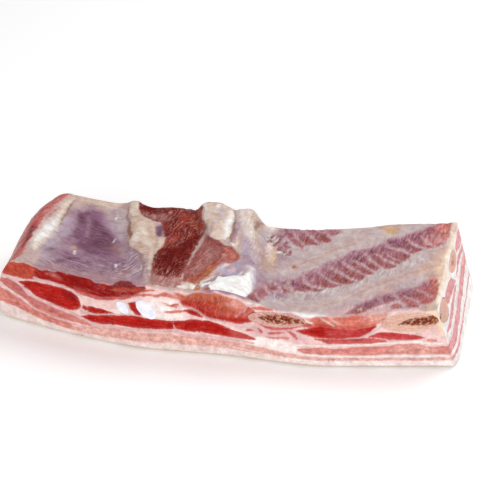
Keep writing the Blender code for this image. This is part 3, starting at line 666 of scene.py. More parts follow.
def lean_at_the_left_cut(p):
    """The lean and the pale strip along the left cut."""
    p.lean("pink", (-156, -12), (-141, -3), (-141, 4.5), (-136, 20), (-132.5, 32.5), (-129, 44),
           (-127, 54), (-119.5, 71), (-112, 88), (-112, 97), (-156, 97))
    p.stain("orange", 9, (-150, 0, 6), (-141, 8, 5), (-137, 20, 2), amount=0.8)
    p.stain("rose", 5, (-137, 30, 1.5), (-134, 44, 1.5), amount=0.5)
    p.stain("rose", 5, (-128, 64, 1.2), (-123, 72, 1.4), (-119, 82, 1.2), amount=0.9)
    # Painted shade: a dark red line in the crevice between the pink band and the pale strip.
    p.stain("crimson", 2.6, (-140.5, 7, 0.4), (-137, 17, 1), (-134, 28, 1.2), (-132.3, 38, 1.4),
            (-131, 50, 0.8))
    p.stain("liver", 2.2, (-134.6, 27, 0.3), (-132.6, 36, 1.1), (-132.2, 40, 0.8), amount=0.9)
    p.stain("liver", 2, (-137.6, 17, 0.2), (-135, 25, 0.5), amount=0.6)
    p.stain("crimson", 2.4, (-128, 64, 0.5), (-124, 71, 0.9), (-120.5, 79, 0.6), amount=0.8)
    p.pale("shell", (-137.5, 28, 0.4), (-134.5, 38, 0.7), (-131.5, 47, 0.4))
    p.pale("ivory", (-130.5, 50, 1.1), (-129, 53, 0.9))
    p.pale("pinkfat", (-131, 60, 0.3), (-127.5, 69, 0.8), (-124, 76, 0.6), (-120, 84, 0.4))
    p.wash("pinkfat", 4, (-126, 56, 1), (-122, 66, 2), (-118, 76, 2.4), (-115, 88, 2), amount=0.8)
    p.run(62, (-156, -12), (-140, 4), (-127, 54), (-111, 90), (-156, 97))
    p.turn("streak", 0.6, 5, (-138, 26, 3), (-130, 50, 3), (-118, 80, 4))
    p.wash("shell", 5, (-142, -2), (-142, 8), (-134, 34), (-128, 56), (-112, 90), (-107, 90), (-113, 74),
           (-117, 62), (-120, 50), (-123, 36), (-128, 23), (-126, 10), (-129, -2))
    p.wash("ivory", 5, (-132, 18, 1), (-131, 27, 3.5), (-127, 38, 4.5), (-123.5, 50, 3.5), (-119, 62, 2),
           (-115, 76, 1.5), (-112, 86, 1))
    p.wash("white", 3, (-130, 28, 1.5), (-127, 38, 2.4), (-124.5, 47, 1.8), (-121, 55, 1), amount=0.85)
    p.wash("peach", 2, (-106.5, 31.5, 1.9), amount=0.8)
    # Painted highlights: small white glints on the wet film.
    p.wash("white", 1, (-106.8, 25.5, 0.3), (-106, 28, 0.7), amount=0.95)
    p.wash("white", 1, (-83.5, 67, 0.2), (-83, 71, 0.6), amount=0.85)
    p.wash("white", 1, (-80.5, 17.5, 0.3), (-80.2, 21, 0.5), amount=0.9)
    p.wash("white", 1, (-83.5, 45, 0.2), (-82.5, 49, 0.4), amount=0.7)
    # Painted shadow: a brown line and a tan shade along the right border of the raised cream strip.
    p.crease((-120, 47, 0.1), (-118.6, 55, 0.3), (-116, 63.5, 0.5), (-113.5, 75, 0.5), (-112.5, 79, 0.1))
    p.wash("tan", 2.5, (-119.5, 53, 0.2), (-117, 62, 0.9), (-114, 74, 0.8), (-111, 84, 0.2), amount=0.6)
    p.wash("butter", 5, (-131, 22, 1), (-127, 30, 1.5), amount=0.35)
    p.wash("butter", 4, (-122, 60, 1), (-118, 70, 1.2), (-114, 82, 1), amount=0.45)
    p.turn("wisp", 0.75, 8, (-118, 12, 8), (-80, 16, 10))
    p.turn("wisp", 0.9, 6, (-130, 22, 3), (-122, 48, 4), (-114, 78, 4))
    p.turn("wisp", 0.6, 8, (-104, 84, 5), (-84, 80, 5), (-80, 60, 3))


# Where dark lean rises through the film at the front edge
NOTCHES = (((-80, -3), (-79, 1), (-75.5, 4), (-71.5, 5.4), (-69, 4), (-67.5, 1), (-67.5, -3)),
           ((-118, -3), (-114, 0), (-110, 0.6), (-105, 0), (-98, 0.8), (-93, 0), (-91, -3)))


def dark_notches(p):
    """Dark lean that rises through the film at the front edge."""
    p.pale("shell", (-141, 4.5, 0.5), (-139.5, 1.2, 0.7), (-120, 0.2, 0.6), (-92, 0.2, 0.6),
           (-66, 0.4, 0.5))
    for notch in NOTCHES:
        p.lean("dark", *notch)
        p.bare("pale", *notch)
    p.stain("maroon", 3, (-78, 1, 1), (-73, 3, 1.5), (-69, 1, 1), amount=0.7)
    for x in (-78, -75, -72.5, -70):
        p.stain("plum", 1.5, (x, 0, 0.2), (x + 1.4, 3, 0.3), amount=0.6)


def band_of_fat(p):
    """The band of fat across the strip, with the white threads that run out of it."""
    band = ((-76, 92), (-76.5, 78), (-74.5, 63), (-74.5, 53), (-75.5, 47), (-73, 40), (-69, 34),
            (-64.5, 30), (-62.5, 24), (-60.5, 16), (-60, 8), (-58.5, 8), (-58.5, 16), (-57.5, 24),
            (-56, 33), (-53, 41), (-50, 49), (-55, 50), (-57.5, 55), (-58, 63), (-60, 67.5), (-67, 70),
            (-70.5, 76), (-69.5, 92))
    p.wash("silver", 6, (-80, 80, 1), (-78.5, 66, 1.5), (-78, 50, 1), (-76, 40, 1), amount=0.6)
    p.wash("shell", 4, (-75, 94), (-74, 60), (-66, 34), (-61, 20), (-60, -8), (-30, -8), (-26, 8),
           (-14, 24), (-8, 32), (-5, 46), (-11, 56), (-9, 94))
    p.wash("pinkfat", 5, (-64, 70, 3), (-57, 67, 2), (-52, 46, 2), (-57, 34, 2), amount=0.35)
    p.pale("cream", *band)
    p.tone("shell", 4, (-73, 58, 2), (-71, 47, 3), (-66, 40, 2))
    p.tone("ivory", 5, (-67, 60, 3), (-67, 48, 4), (-62, 42, 3), amount=0.6)
    p.turn("wisp", 1, 3, *band)
    p.tone("ivory", 3, (-72.5, 50, 1.6), (-71, 46, 1.4), amount=0.8)
    p.tone("ivory", 3, (-74, 84, 1), (-74, 74, 1.4), amount=0.6)
    p.tone("tan", 3, (-74.5, 57, 1), (-68.5, 66, 0.8), (-66, 67, 0.7), amount=0.45)
    p.tone("gristle", 4, (-63, 34, 1.5), (-58, 30, 1), (-62, 26, 1), amount=0.5)
    p.tone("tan", 6, (-62, 62, 2), (-60, 30, 1), (-60, 14, 1.5), amount=0.2)
    p.tone("silver", 6, (-61, 22, 2), (-60.5, 8, 2), (-59, -3, 4), amount=0.7)
    # Painted shadow along the band's raised left edge: a brown line, with orange-brown beside it.
    p.crease((-76.5, 80, 0.1), (-76, 66, 0.3), (-75, 58, 0.9), (-74, 51, 0.9), (-74.5, 47, 0.3),
             (-75, 43, 0.1))
    p.tone("rust", 1.8, (-74.6, 59, 0.4), (-73.4, 53, 0.9), (-73.6, 49, 0.5), amount=0.9)
    p.wash("rust", 1.8, (-75, 58, 0.5), (-74, 50, 0.9), amount=0.8)
    p.tone("haze", 4, (-64, 29, 1.5), (-61, 20, 1.5), (-60, 10, 1.5), amount=0.5)
    p.wash("haze", 4, (-67, 31, 2), (-63, 22, 3), (-62, 12, 3), (-61, 2, 3), (-60, -4, 3), amount=0.85)
    p.wash("shell", 4, (-60, 16, 1), (-60.5, 6, 2), (-60, -4, 2), amount=0.7)
    p.tone("honey", 5, (-69, 60, 1), (-66, 30, 1.5), amount=0.4)
    for x, y in ((-67, 30), (-65.5, 26), (-64, 23), (-64, 19), (-62, 15.5), (-63, 12), (-62, 8),
                 (-61.5, 4), (-60.5, 0.5), (-58.5, 3)):
        p.pale("shell", (x - 2.4, y - 1.6, -0.3), (x, y, 0.45), (x + 2, y + 1.8, -0.2))
    threads = ((-80, 8), (-78, 22), (-73, 33), (-66, 34), (-61, 24), (-61, 8))
    p.run(42, (-84, 2), (-80, 34), (-70, 38), (-65, 28), (-63.5, 19), (-63.5, 2))
    p.turn("wisp", 1.5, 4, *threads)


def thin_muscle(p):
    """The thin muscle right of the band."""
    muscle = ((-70.5, 92), (-29.5, 92), (-29.5, 82), (-30, 70), (-27.5, 61.5), (-28.5, 57), (-33.5, 42),
              (-36, 30), (-38, 20), (-41, 11), (-48, 7), (-54, 7), (-58, 10), (-57.5, 21), (-57.5, 29),
              (-55, 37), (-51.5, 45), (-53, 57), (-55, 67), (-62, 69), (-68, 72), (-71.5, 80))
    p.lean("wine", *muscle)
    p.stain("liver", 6, (-68, 84, 3), (-64, 80, 4), (-58, 85, 3))
    p.stain("lip", 8, (-67, 74, 1.5), (-60, 73.5, 3.5), (-53, 72, 2.5), amount=0.75)
    p.stain("liver", 8, (-31.5, 54, 2), (-38, 44, 4.5), (-48, 33, 4.5), (-53, 24, 4))
    p.stain("liver", 7, (-41, 30, 3), (-46, 20, 4), (-50, 17, 3))
    p.stain("clay", 7, (-36, 83, 3), (-45, 86, 2), amount=0.4)
    p.stain("amber", 6, (-38, 76, 3), (-34, 66, 3), amount=0.35)
    p.stain("clay", 7, (-49, 50, 2), (-44, 42, 1), amount=0.45)
    p.stain("clay", 6, (-57, 9, 3), (-50, 7, 3.5), (-42, 10, 3), amount=0.8)
    p.stain("amber", 5, (-30.5, 84, 1.5), (-30, 70, 1.5), (-28.5, 60, 1.5), amount=0.6)
    p.run(66, (-80, 95), (-76, 70), (-56, 66), (-58, 0), (-36, 0), (-27, 60), (-28, 95))
    p.turn("streak", 1.1, 4, *muscle)
    p.turn("streak", 0.25, 7, (-33, 54, 1.5), (-39, 42, 3.5), (-46, 32, 5), (-52, 23, 3))
    p.turn("streak", 0.08, 6, (-67, 80, 2.5), (-62, 84, 3.5))
    p.turn("streak", 0.12, 5, (-37, 46, 2), (-45, 34, 3), (-50, 26, 2))
    p.stain("ember", 5, (-46, 62, 2), (-40, 70, 2), (-44, 78, 2), amount=0.5)
    p.stain("ember", 5, (-52, 40, 1), (-48, 46, 1.2), (-44, 52, 1.2), amount=0.6)
    p.wash("violet", 2.5, (-55.3, 52.5, 2.3), (-55.2, 61.5, 2.9))
    p.wash("purple", 2.5, (-54.9, 55, 1), (-54.7, 60, 1.4), amount=0.85)
    # A painted highlight on the oval's right rim, in a bluish sheen.
    p.wash("blue_sheen", 1.6, (-52.8, 56, 0.5), (-52.9, 62, 0.4), amount=0.6)


def lip_of_the_muscle(p):
    """The lower end of the thin muscle, a lip over the fat."""
    p.lean("lip", (-58.5, 14), (-59.8, 8), (-58.5, 3), (-55.5, -1), (-50, -2.5), (-45, -1), (-41, 4),
           (-40, 9), (-46, 12))
    p.stain("shell", 3, (-50, 0, 1), (-45, 2, 1), amount=0.5)
    p.stain("red", 2.5, (-59, 9, 0.6), (-58, 13, 0.6), amount=0.5)
    p.turn("streak", 0.7, 4, (-56, 6, 3), (-44, 6, 3))


def lobe_of_the_muscle(p):
    """The thin muscle's lobe."""
    lobe = ((-27, 56), (-18, 51.5), (-10, 48), (-6, 41), (-6.5, 33), (-11, 29), (-17, 27), (-20, 21),
            (-24, 15), (-31, 9), (-40, 8), (-38, 21), (-35, 31), (-31, 45))
    p.lean("clay", *lobe)
    p.stain("lobe", 8, (-34, 24, 3), (-26, 36, 5), (-24, 48, 3))
    p.stain("lip", 6, (-26, 46, 2), (-22, 38, 3.5), (-26, 28, 3), (-34, 18, 1.5), amount=0.6)
    p.stain("amber", 5, (-38, 8, 2), (-31, 11, 3), (-24, 17, 3.5), (-20, 24, 2.5))
    p.stain("rust", 4, (-30, 11, 1.5), (-26, 14, 2.2), (-22, 21, 2.4), amount=0.95)
    p.stain("coral", 5, (-14, 45, 2), (-10, 41, 3), (-10, 35, 3), amount=0.8)
    p.stain("pink", 4, (-16, 36, 1.5), (-13, 31, 1.5), (-17, 28, 1), amount=0.6)
    p.pale("shell", (-12, 48.5, 0.2), (-7, 45.5, 0.6), (-5, 39, 0.6), (-6, 33, 0.5), (-9.5, 29.5, 0.2))
    p.stain("brown", 4, (-25, 53, 1), (-17, 50, 1.5), (-12, 47, 1), amount=0.4)
    p.run(56, (-26, 60), (-5, 50), (-4, 26), (-20, 18), (-32, 4), (-37, 22), (-34, 32), (-30, 46))
    p.turn("streak", 0.9, 4, *lobe)
    p.pale("shell", (-37.5, 26, 0.05), (-35, 33, 0.45), (-32, 45, 0.75), (-28.5, 54, 0.6),
           (-26.5, 58, 0.1))


def fat_at_the_front_edge(p):
    """Fat and film at the front edge, with the white fat."""
    p.wash("shell", 4, (-59, -4, 3), (-50, -2, 4), (-40, 0, 5), (-32, 2, 4), amount=0.9)
    p.wash("ivory", 3, (-47, 3, 1), (-40, 4, 2), (-35, 5, 1), amount=0.7)
    p.pale("shell", (-57, -5, 2.2), (-44, -4, 3), (-34, -3, 2.5))
    p.pale("shell", (-61, -5, 1.2), (-56, -4.5, 1.6), (-44, -3.5, 1.6), (-38, -2, 3))
    p.pale("ivory", (-42, 2, 1.2), (-37, 4, 2.8), (-32, 3, 1.8), (-28, 6.5, 0.8))
    p.tone("butter", 3, (-42, 0, 1.2), (-38, 2, 1.2), amount=0.35)
    p.turn("wisp", 0.9, 4, (-44, 0, 3), (-30, 4, 4))
    p.lean("amber", (-36.5, 7.5, 0.7), (-32, 8.5, 1.4), (-29.5, 10.5, 1))
    p.lean("rust", (-34, -3, 1.2), (-31, 0, 1.4), (-29.5, 4, 1.1), (-30, 8, 1.2))
    p.lean("orange", (-30, -2, 1.2), (-25, 1, 1.2))
    p.bare("pale", (-32, -2, 0.3), (-30.5, 2, 0.9), (-30.5, 6, 0.6))
    # Painted shadow: a brown line under the lip of the thin muscle.
    p.crease((-60, 9, 0.1), (-59.6, 5, 0.4), (-58, 1.5, 0.6), (-55, -1.5, 0.6), (-50, -2.8, 0.5),
             (-46, -2.6, 0.2))
    blob = ((-25, 2.5), (-24, 6.5), (-21, 10), (-19.5, 15), (-16, 15.5), (-12, 18), (-6, 21.5), (-1, 24),
            (1.5, 18), (1, 10), (-2, 3), (-6, -2), (-13, -3.5), (-20, -1.5))
    p.pale("white", *blob)
    p.pale("ivory", (-30, 6.5, 0.4), (-27, 9, 1), (-24, 11.5, 0.9), (-21, 15.5, 0.5))
    p.pale("white", (-28.5, 3.5, 0.5), (-26, 5.5, 1), (-23, 8, 0.8))
    p.tone("pinkfat", 3, (-24, 5, 1), (-21, 8, 0.8), amount=0.6)
    p.tone("coral", 2, (-17, 2.5, 0.5), (-14.5, 0.5, 0.7), amount=0.35)
    # A painted bluish sheen on the film behind the white fat.
    p.wash("blue_sheen", 7, (-20, 21), (-12, 28), (-6, 31.5), (0, 38), (4, 30), (0, 20), (-12, 18))
    p.wash("violet", 4, (-9, 26, 1), (-4.5, 27, 1.2), amount=0.5)
    for tint, x, y in strewn(14, (-18, 20), (17, 9), ("pinkfat", "lilac", "white", "coral")):
        y += 0.35 * (x + 10)
        p.wash(tint, 1.5, (x - 1.6, y - 2.4, 0.1), (x, y, 0.6), (x + 1.4, y + 2.2, 0.1), amount=0.6)
    # Painted bluish shade and sheen on the upper part of the white fat.
    p.tone("blue_sheen", 4, (-19, 19, 2), (-12, 22, 2.5), (-5, 25, 2.5), amount=0.8)


def fat_at_the_back_edge(p):
    """The lobe of fat along the back edge."""
    back_lobe = ((-31.5, 92), (-9.5, 92), (-9.5, 77), (-10.5, 66), (-12, 56), (-15, 52), (-21, 52),
                 (-25, 54.5), (-27, 62), (-29.5, 70), (-28, 77), (-30.5, 84))
    p.pale("tallow", *back_lobe)
    p.tone("silver", 6, (-25, 80, 3), (-21, 74, 3), (-19, 64, 2), amount=0.6)
    p.tone("chalk", 2.5, (-30.5, 88, 1), (-28.3, 78, 1), (-29, 70, 0.6), (-27, 62, 0.5), amount=0.9)
    p.tone("honey", 4, (-13, 57, 1), (-26, 84, 1.5), amount=0.45)
    p.turn("wisp", 0.6, 3, *back_lobe)
    p.run(80, *back_lobe)
    # Strokes over the lobe: the bluish ones, and the bluish patch after them, are painted glints; the cream
    # along the back edge is a painted highlight.
    for tint, x, y in strewn(16, (-27.5, 58), (16, 27), ("chalk", "honey", "blue_sheen", "tan"), 0.3):
        p.tone(tint, 1.6, (x + 1.2, y + 7, 0.1), (x, y, 0.8), (x - 1.0, y - 6, 0.1), amount=0.6)
    p.tone("blue_sheen", 4, (-17.5, 77, 1.5), (-21, 79, 1), amount=0.8)
    p.tone("cream_highlight", 4, (-29, 90, 2), (-19, 89, 1.6), (-11, 88, 1.6))
    p.tone("white", 3.5, (-11.5, 81, 0.8), (-12.5, 72, 1.4), (-14, 62, 1.7), (-14, 54, 1.2))
    p.tone("tan", 4, (-28.5, 72, 1), (-26, 62, 1), amount=0.4)
    # Painted shade: a brown line in the groove along the lobe's right edge, with a tan shade at its foot.
    p.crease((-9.3, 84, 0.4), (-9.3, 74, 0.4), (-10.6, 63, 0.5), (-11.3, 55, 0.7), (-10.8, 52, 0.3))
    p.wash("tan", 2, (-10.6, 55, 1), amount=0.7)
    p.pale("ivory", (-10.5, 50.5, 1.2), (-8.8, 49.5, 0.9))
    p.wash("silver", 16, (24, 10), (24, 92), (140, 100), (140, -10), (30, -10))


def folded_film(p):
    """The folded film, down to the ribs."""
    p.wash("ivory", 9, (-6, 90, 4), (0, 86, 5), (8, 78, 3), (14, 84, 3), amount=0.8)
    p.wash("pearl", 8, (-9, 60), (-8, 34), (-2, 24), (6, 24), (12, 32), (22, 40), (10, 62), (-4, 66))
    p.wash("ivory", 14, (0, 80, 9), (4, 66, 8), (8, 54, 4), amount=0.85)
    p.wash("shell", 10, (8, 58, 5), (13, 44, 5))
    p.wash("ivory", 8, (-2, 82, 5), (1, 72, 6), (3, 62, 5), amount=0.85)
    # A painted bluish sheen on the fold.
    p.wash("blue_sheen", 5, (-6, 54, 1.5), (-4, 46, 2), (-1, 38, 2), amount=0.6)
    p.wash("shell", 8, (3, 54, 3), (6, 44, 4), (10, 36, 4), amount=0.65)
    p.wash("silver", 7, (12, 36, 3), (20, 38, 4), (24, 46, 4), amount=0.8)
    p.wash("tan", 7, (8, 60, 3), (13, 50, 4), (11, 42, 4), (6, 35, 2), amount=0.5)
    p.wash("tan", 3, (6.5, 79, 0.8), (4.5, 69, 1.2), (8, 74, 0.6), amount=0.6)
    p.wash("lilac", 7, (-2, 40, 2), (-1, 34, 2), (8, 28, 2), amount=0.7)
    p.wash("white", 6, (-2, 18, 2), (0, 28, 2), (-1, 8, 2), amount=0.8)
    p.run(84, (-10, 92), (14, 92), (6, 30), (-8, 28))
    p.turn("wisp", 0.8, 6, (-4, 88, 3), (4, 50, 5), (6, 34, 3))
    # The threads include painted highlights in cream and a painted bluish sheen.
    threads = ("cream_highlight", "tan", "shell", "blue_sheen", "ivory", "honey", "silver", "pinkfat")
    for tint, x, y in strewn(34, (-8.5, 30), (25, 52), threads, 0.11):
        foot = y + 0.4 * abs(x)
        thread = ((x + 1.6, foot + 26, 0.1), (x + 0.4, foot + 12, 0.8), (x - 1.2, foot, 0.1))
        p.wash(tint, 1.8, *thread, amount=0.75)
    # A painted cream highlight along the back edge.
    p.wash("cream_highlight", 3, (-8, 92, 1.5), (4, 91, 1.5), (11, 85, 1.2), (16, 84, 1), amount=0.8)
    # Painted shade in the creases of the fold.
    p.crease((7.5, 84, 0.3), (5, 77, 0.7), (3.5, 68, 0.4), (3, 64, 0.1))
    p.crease((0.4, 37, 0.5), (2.6, 35, 0.5))


def torn_film(p):
    """Torn, spiky film with the muscle showing through."""
    for x, y, half in ((13.5, 75.5, 1.1), (12, 69.5, 1), (14.5, 66, 1), (18.5, 75, 1.6), (16.5, 69, 1.4),
                       (18, 63, 1.3), (21, 61, 1.2), (22.5, 68.5, 1.5), (22, 65, 1.2), (24, 59, 1.4),
                       (24.5, 65, 1), (21, 79, 1.4), (19.5, 83, 1.2)):
        p.lean("mauve", (x - 0.5 * half, y - 1.5 * half, 0.7 * half), (x + 0.5 * half, y + half, half))
        p.stain("plum", 3, (x, y, 0.5), amount=0.6)
    for x, y, long in ((10.5, 70, 8), (13, 71, 6), (15, 75, 6), (16.5, 73, 7), (20, 71, 8), (19, 66, 5),
                       (21.5, 58, 8), (23.5, 62, 6), (26, 60, 5)):
        p.pale("ivory", (x - 0.25 * long, y - 0.45 * long, -0.1), (x, y, 0.45),
               (x + 0.25 * long, y + 0.45 * long, -0.1))
    p.pale("ivory", (13, 57.5, 0.5), (19, 59, 0.9), (17, 60.5, 0.3))
    p.run(66, (8, 80), (21, 84), (28, 56), (22, 50), (10, 62))
    p.turn("streak", 1, 3, (11, 74), (20, 78), (27, 58), (22, 52), (11, 66))
    p.turn("wisp", 1.6, 3, (11, 74), (20, 78), (27, 58), (22, 52), (11, 66))


def bands_over_the_ribs(p):
    """The pale bands over the ribs."""
    p.wash("silver", 7, (22, 44, 5), (40, 56, 7), (58, 68, 8), (78, 80, 8), (110, 98, 8), amount=0.7)
    p.wash("shell", 7, (64, 88, 3), (80, 90, 4), (100, 92, 4))
    p.wash("tan", 9, (78, 86, 4), (92, 86, 4), amount=0.35)
    p.wash("shell", 6, (20, 40, 3), (34, 50, 4), (50, 62, 4), (70, 75, 5), amount=0.6)
    p.wash("silver", 7, (8, 4, 5), (30, 10, 7), (48, 16, 7), (66, 24, 7), (90, 36, 7), (124, 52, 8))
    p.wash("shell", 6, (22, 5, 3), (40, 8, 3), (60, 18, 3), (90, 32, 3), (110, 40, 3), amount=0.7)
    p.wash("haze", 6, (48, 5, 2.5), (60, 11, 2), (76, 19, 2), (96, 29, 2), amount=0.35)
    p.wash("cream", 8, (112, 62, 3), (117, 50, 4), (112, 40, 3), amount=0.55)
    p.wash("white", 3, (18, -0.5, 0.8), (30, 0.8, 1.8), (44, -0.6, 1), amount=0.9)
    p.wash("gristle", 6, (46, 1, 2), (58, 3, 4), (66, 2, 4), (76, 4, 5), (84, 7, 4), (92, 5, 2),
           amount=0.85)
    p.wash("peach", 6, (106, 31, 1.5), (113, 34, 2.5), (116.5, 46, 2.5), (119, 60, 1.5), amount=0.75)
    p.wash("peach", 9, (100, 36, 2), (110, 43, 4), (112, 52, 2), amount=0.5)


# The muscles between the ribs: their outlines, the border that the film veils, the gaps that cross them,
# the dark ends of their bundles, and the purple shades under the film
RIB_MUSCLES = (
    {
        "outlines": (((19, 82), (22, 88), (31, 91), (45, 89), (56, 85), (57, 80.5), (50.5, 77), (50, 72),
                     (46, 71.5), (42, 69), (35, 70), (32, 66.5), (28, 68.5), (23, 77)),),
        "veil": ((20, 84, 3), (30, 86, 5), (44, 86, 4), (56, 84, 2)),
        "gaps": (((24, 86, 0.3), (28, 78.5, 0.9), (31.5, 73, 0.9), (34.5, 67, 0.6)),
                 ((31, 88, 0.3), (37, 79.5, 0.9), (40, 75, 0.8), (44, 69, 0.6)),
                 ((41, 88, 0.3), (46, 82, 0.8), (50, 77.5, 0.8), (54, 73, 0.6))),
        "ends": ((31, 69, 1), (35, 74, 2), (40, 70, 1.4), (40, 83, 1.4), (46, 76, 2.6), (48.5, 73.5, 1.6),
                 (52, 81, 1.6)),
        "shades": ((24, 80, 1.5), (22, 84, 1.5))},
    {
        "outlines": (((-3, 0), (0, 8), (3, 14), (8, 22), (13, 27.5), (20, 31.5), (27, 33.5), (32, 39),
                     (37, 43), (44, 48), (51, 52), (58, 57), (63, 61), (70, 63), (78, 66), (85, 71),
                     (95, 74), (100, 78), (108, 81), (118, 86), (127, 88), (127, 79), (120, 68),
                     (117, 63), (113, 60.5), (106, 60), (99.5, 55.5), (96.5, 52), (91, 47.5), (86.5, 43),
                     (83, 41.5), (78, 43.5), (73, 38), (69, 36.5), (67.5, 33), (61.5, 29.5), (58, 28),
                     (55, 29), (52, 28), (48, 27), (44, 26), (42.5, 24.5), (36, 23), (34, 25), (32, 22),
                     (27, 23), (22.5, 20), (15, 20), (12, 15), (8, 8), (4, 1), (1, -2)),),
        "veil": ((4, 15, 1), (12, 25, 2), (29, 35, 3.5), (40, 44, 5), (52, 51, 4.5), (66, 60, 4),
                 (82, 67, 3.5), (96, 75, 3), (112, 83, 3)),
        "gaps": (((2, 13, 0.4), (5, 7, 0.8), (8, 2, 0.5)),
                 ((7, 23, 0.4), (11, 16, 0.9), (13, 11, 0.5)),
                 ((14, 30, 0.4), (18, 23, 1), (19, 18, 0.6)),
                 ((22, 33, 0.4), (23.5, 27, 1.1), (24.5, 20, 0.8)),
                 ((32, 37, 0.5), (34.5, 31, 1.6), (37, 28, 1.2), (44, 26.5, 0.8)),
                 ((40, 42.5, 0.5), (45, 37, 0.9), (48.5, 33, 0.9), (54, 29, 0.8)),
                 ((48, 45.5, 0.4), (54, 40, 0.9), (58, 36, 0.9), (64, 31, 0.8)),
                 ((56, 50, 0.5), (59, 46, 1.1), (62, 43, 0.6), (67, 38.5, 0.6), (70, 35, 0.5)),
                 ((61, 52, 0.4), (66, 48, 0.9), (70, 44, 0.9), (75, 39.5, 0.8)),
                 ((70, 57, 0.5), (72.5, 52, 1.1), (76, 48, 0.9), (80, 43, 0.8)),
                 ((76, 57, 0.4), (80, 52.5, 0.8), (84, 49, 0.9), (89.5, 44, 0.8)),
                 ((82, 58, 0.4), (86, 53.5, 0.6), (93, 48, 0.6)),
                 ((84, 65, 0.6), (89, 61.5, 1.3), (94, 58.5, 1.2), (99, 54.5, 0.9)),
                 ((96.5, 71, 0.5), (99, 67, 1), (103, 63, 1.1), (108.5, 59, 0.8)),
                 ((104.5, 73, 0.6), (108, 67.5, 1.3), (110.5, 64, 0.8), (115, 60, 0.6)),
                 ((112, 74, 0.5), (115, 69, 0.8), (119.5, 65, 0.6))),
        "ends": ((2, 3, 1.2), (8, 13, 1.5), (14, 20.5, 1.4), (21, 23, 1.4), (31.5, 26, 1.6),
                 (39, 25.5, 1), (44.5, 30, 1.8), (51, 29.5, 1.2), (52.5, 35, 2.4), (57, 31.5, 2.4),
                 (60, 39, 2.4), (64.5, 36.5, 1.8), (67.5, 42, 1.4), (72.5, 46, 2), (75, 43.5, 1.6),
                 (71.5, 39, 1.8), (79, 49.5, 2.2), (84.5, 44.5, 1.8), (88.5, 49, 1.6), (93.5, 53, 1.9),
                 (101, 58, 2.4), (108, 63, 2)),
        "shades": ((27, 28.5, 2.4), (24, 30, 1.4), (54.5, 46, 1.6), (67, 53, 3), (62, 53, 2.4),
                   (75, 60, 2.6), (82, 62, 2.4), (91, 67, 3.8), (86, 69, 2), (97, 64, 2), (103, 70, 1.8),
                   (109.5, 75.5, 2.2), (99, 74, 1.6))},
    {
        "outlines": (((49, -3), (56, 2), (61, 7), (65, 11), (70, 12.5), (74, 15.5), (80, 17.5), (86, 20),
                     (92, 22), (98, 25), (104, 28), (110, 30.5), (113, 22), (109, 9), (105.5, 4.5),
                     (102, 3), (99, 4.5), (96, 1), (92, 0), (90, 3), (89.5, 9), (87, 12.5), (80, 10),
                     (75, 8), (70, 5), (65, 2), (60, -2)), ((81.5, 7), (83.5, 9.5), (86.5, 8),
                     (88.3, 3.5), (87.8, 0), (84.5, -0.6), (82, 3))),
        "veil": ((58, 5, 1.5), (66, 11, 2.5), (80, 17, 3.5), (92, 22, 4), (104, 28, 3.5)),
        "gaps": (((90, 15, 0.4), (94.5, 10, 0.9), (98.5, 3, 0.7)),
                 ((98, 21, 0.4), (103, 16, 0.8), (106, 10, 0.8)),
                 ((76, 14, 0.3), (78, 9, 0.5)),
                 ((84, 19, 0.4), (87, 12, 0.6))),
        "ends": ((92, 3, 1.4), (102, 7, 2.5)),
        "shades": ((67, 9.5, 2.2), (70, 7, 1.5), (75, 12.5, 2.2), (82.5, 16, 2.2), (89, 16, 2.6),
                   (96, 22, 2), (98, 14, 1.5), (103, 21, 1.8))},
)
FIBRES_RUN = 72.0       # degrees, of the threads in the film round them


def rib_muscles(p):
    """The muscles between the ribs, veiled by the film."""
    for muscle in RIB_MUSCLES:
        for outline in muscle["outlines"]:
            p.lean("mauve", *outline)
            p.wash("veil", 3, *outline)
            p.turn("wisp", 1.3, 8, *outline)
            p.turn("streak", 1.15, 4, *outline)
            p.turn("soft", 1.9, 4, *outline)
            near = depth_in(p.x, p.y, outline)[..., None] > -12
            p.grain = np.where(near, np.stack(turned(p.x, p.y, FIBRES_RUN), -1), p.grain)
        p.stain("heather", 8, *muscle["veil"])
        p.turn("soft", 5, 7, *muscle["veil"])
        for end in muscle["ends"]:
            p.stain("clay", 4.5, end)
        for shade in muscle["shades"]:
            p.stain("plum", 4.5, shade, amount=0.85)
        for gap in muscle["gaps"]:
            p.bare("lean", *gap)
    p.stain("blush", 7, (84, 6, 1.5), (85, 2, 1.5))
    p.stain("blush", 8, (112, 78, 2), (124, 82, 4), amount=0.7)
    p.stain("pink", 8, (108, 68, 3), (114, 64, 4), (119, 72, 5), (122, 82, 5), amount=0.8)
    p.turn("soft", 4, 6, (112, 66, 3), (120, 76, 4), (124, 84, 4))
    p.stain("coral", 6, (118, 85, 2), (125, 80, 2), amount=0.6)
    p.stain("blush", 7, (101, 22, 2), (106, 20, 3), (104, 8, 3), amount=0.8)
    p.stain("coral", 5, (109, 28, 2.5), (111, 20, 2), (108, 12, 1.5), amount=0.9)
    p.stain("honey", 3, (110.5, 26, 0.8), (111.5, 18, 0.6), amount=0.6)
    p.stain("blush", 6, (50, 1, 2), (57, 2, 2.5), (61, 2, 2), amount=0.7)
    p.stain("blush", 8, (82, 4, 4), (94, 6, 6), (103, 11, 6), amount=0.6)
    p.turn("soft", 2.8, 6, (82, 4, 5), (104, 12, 8))


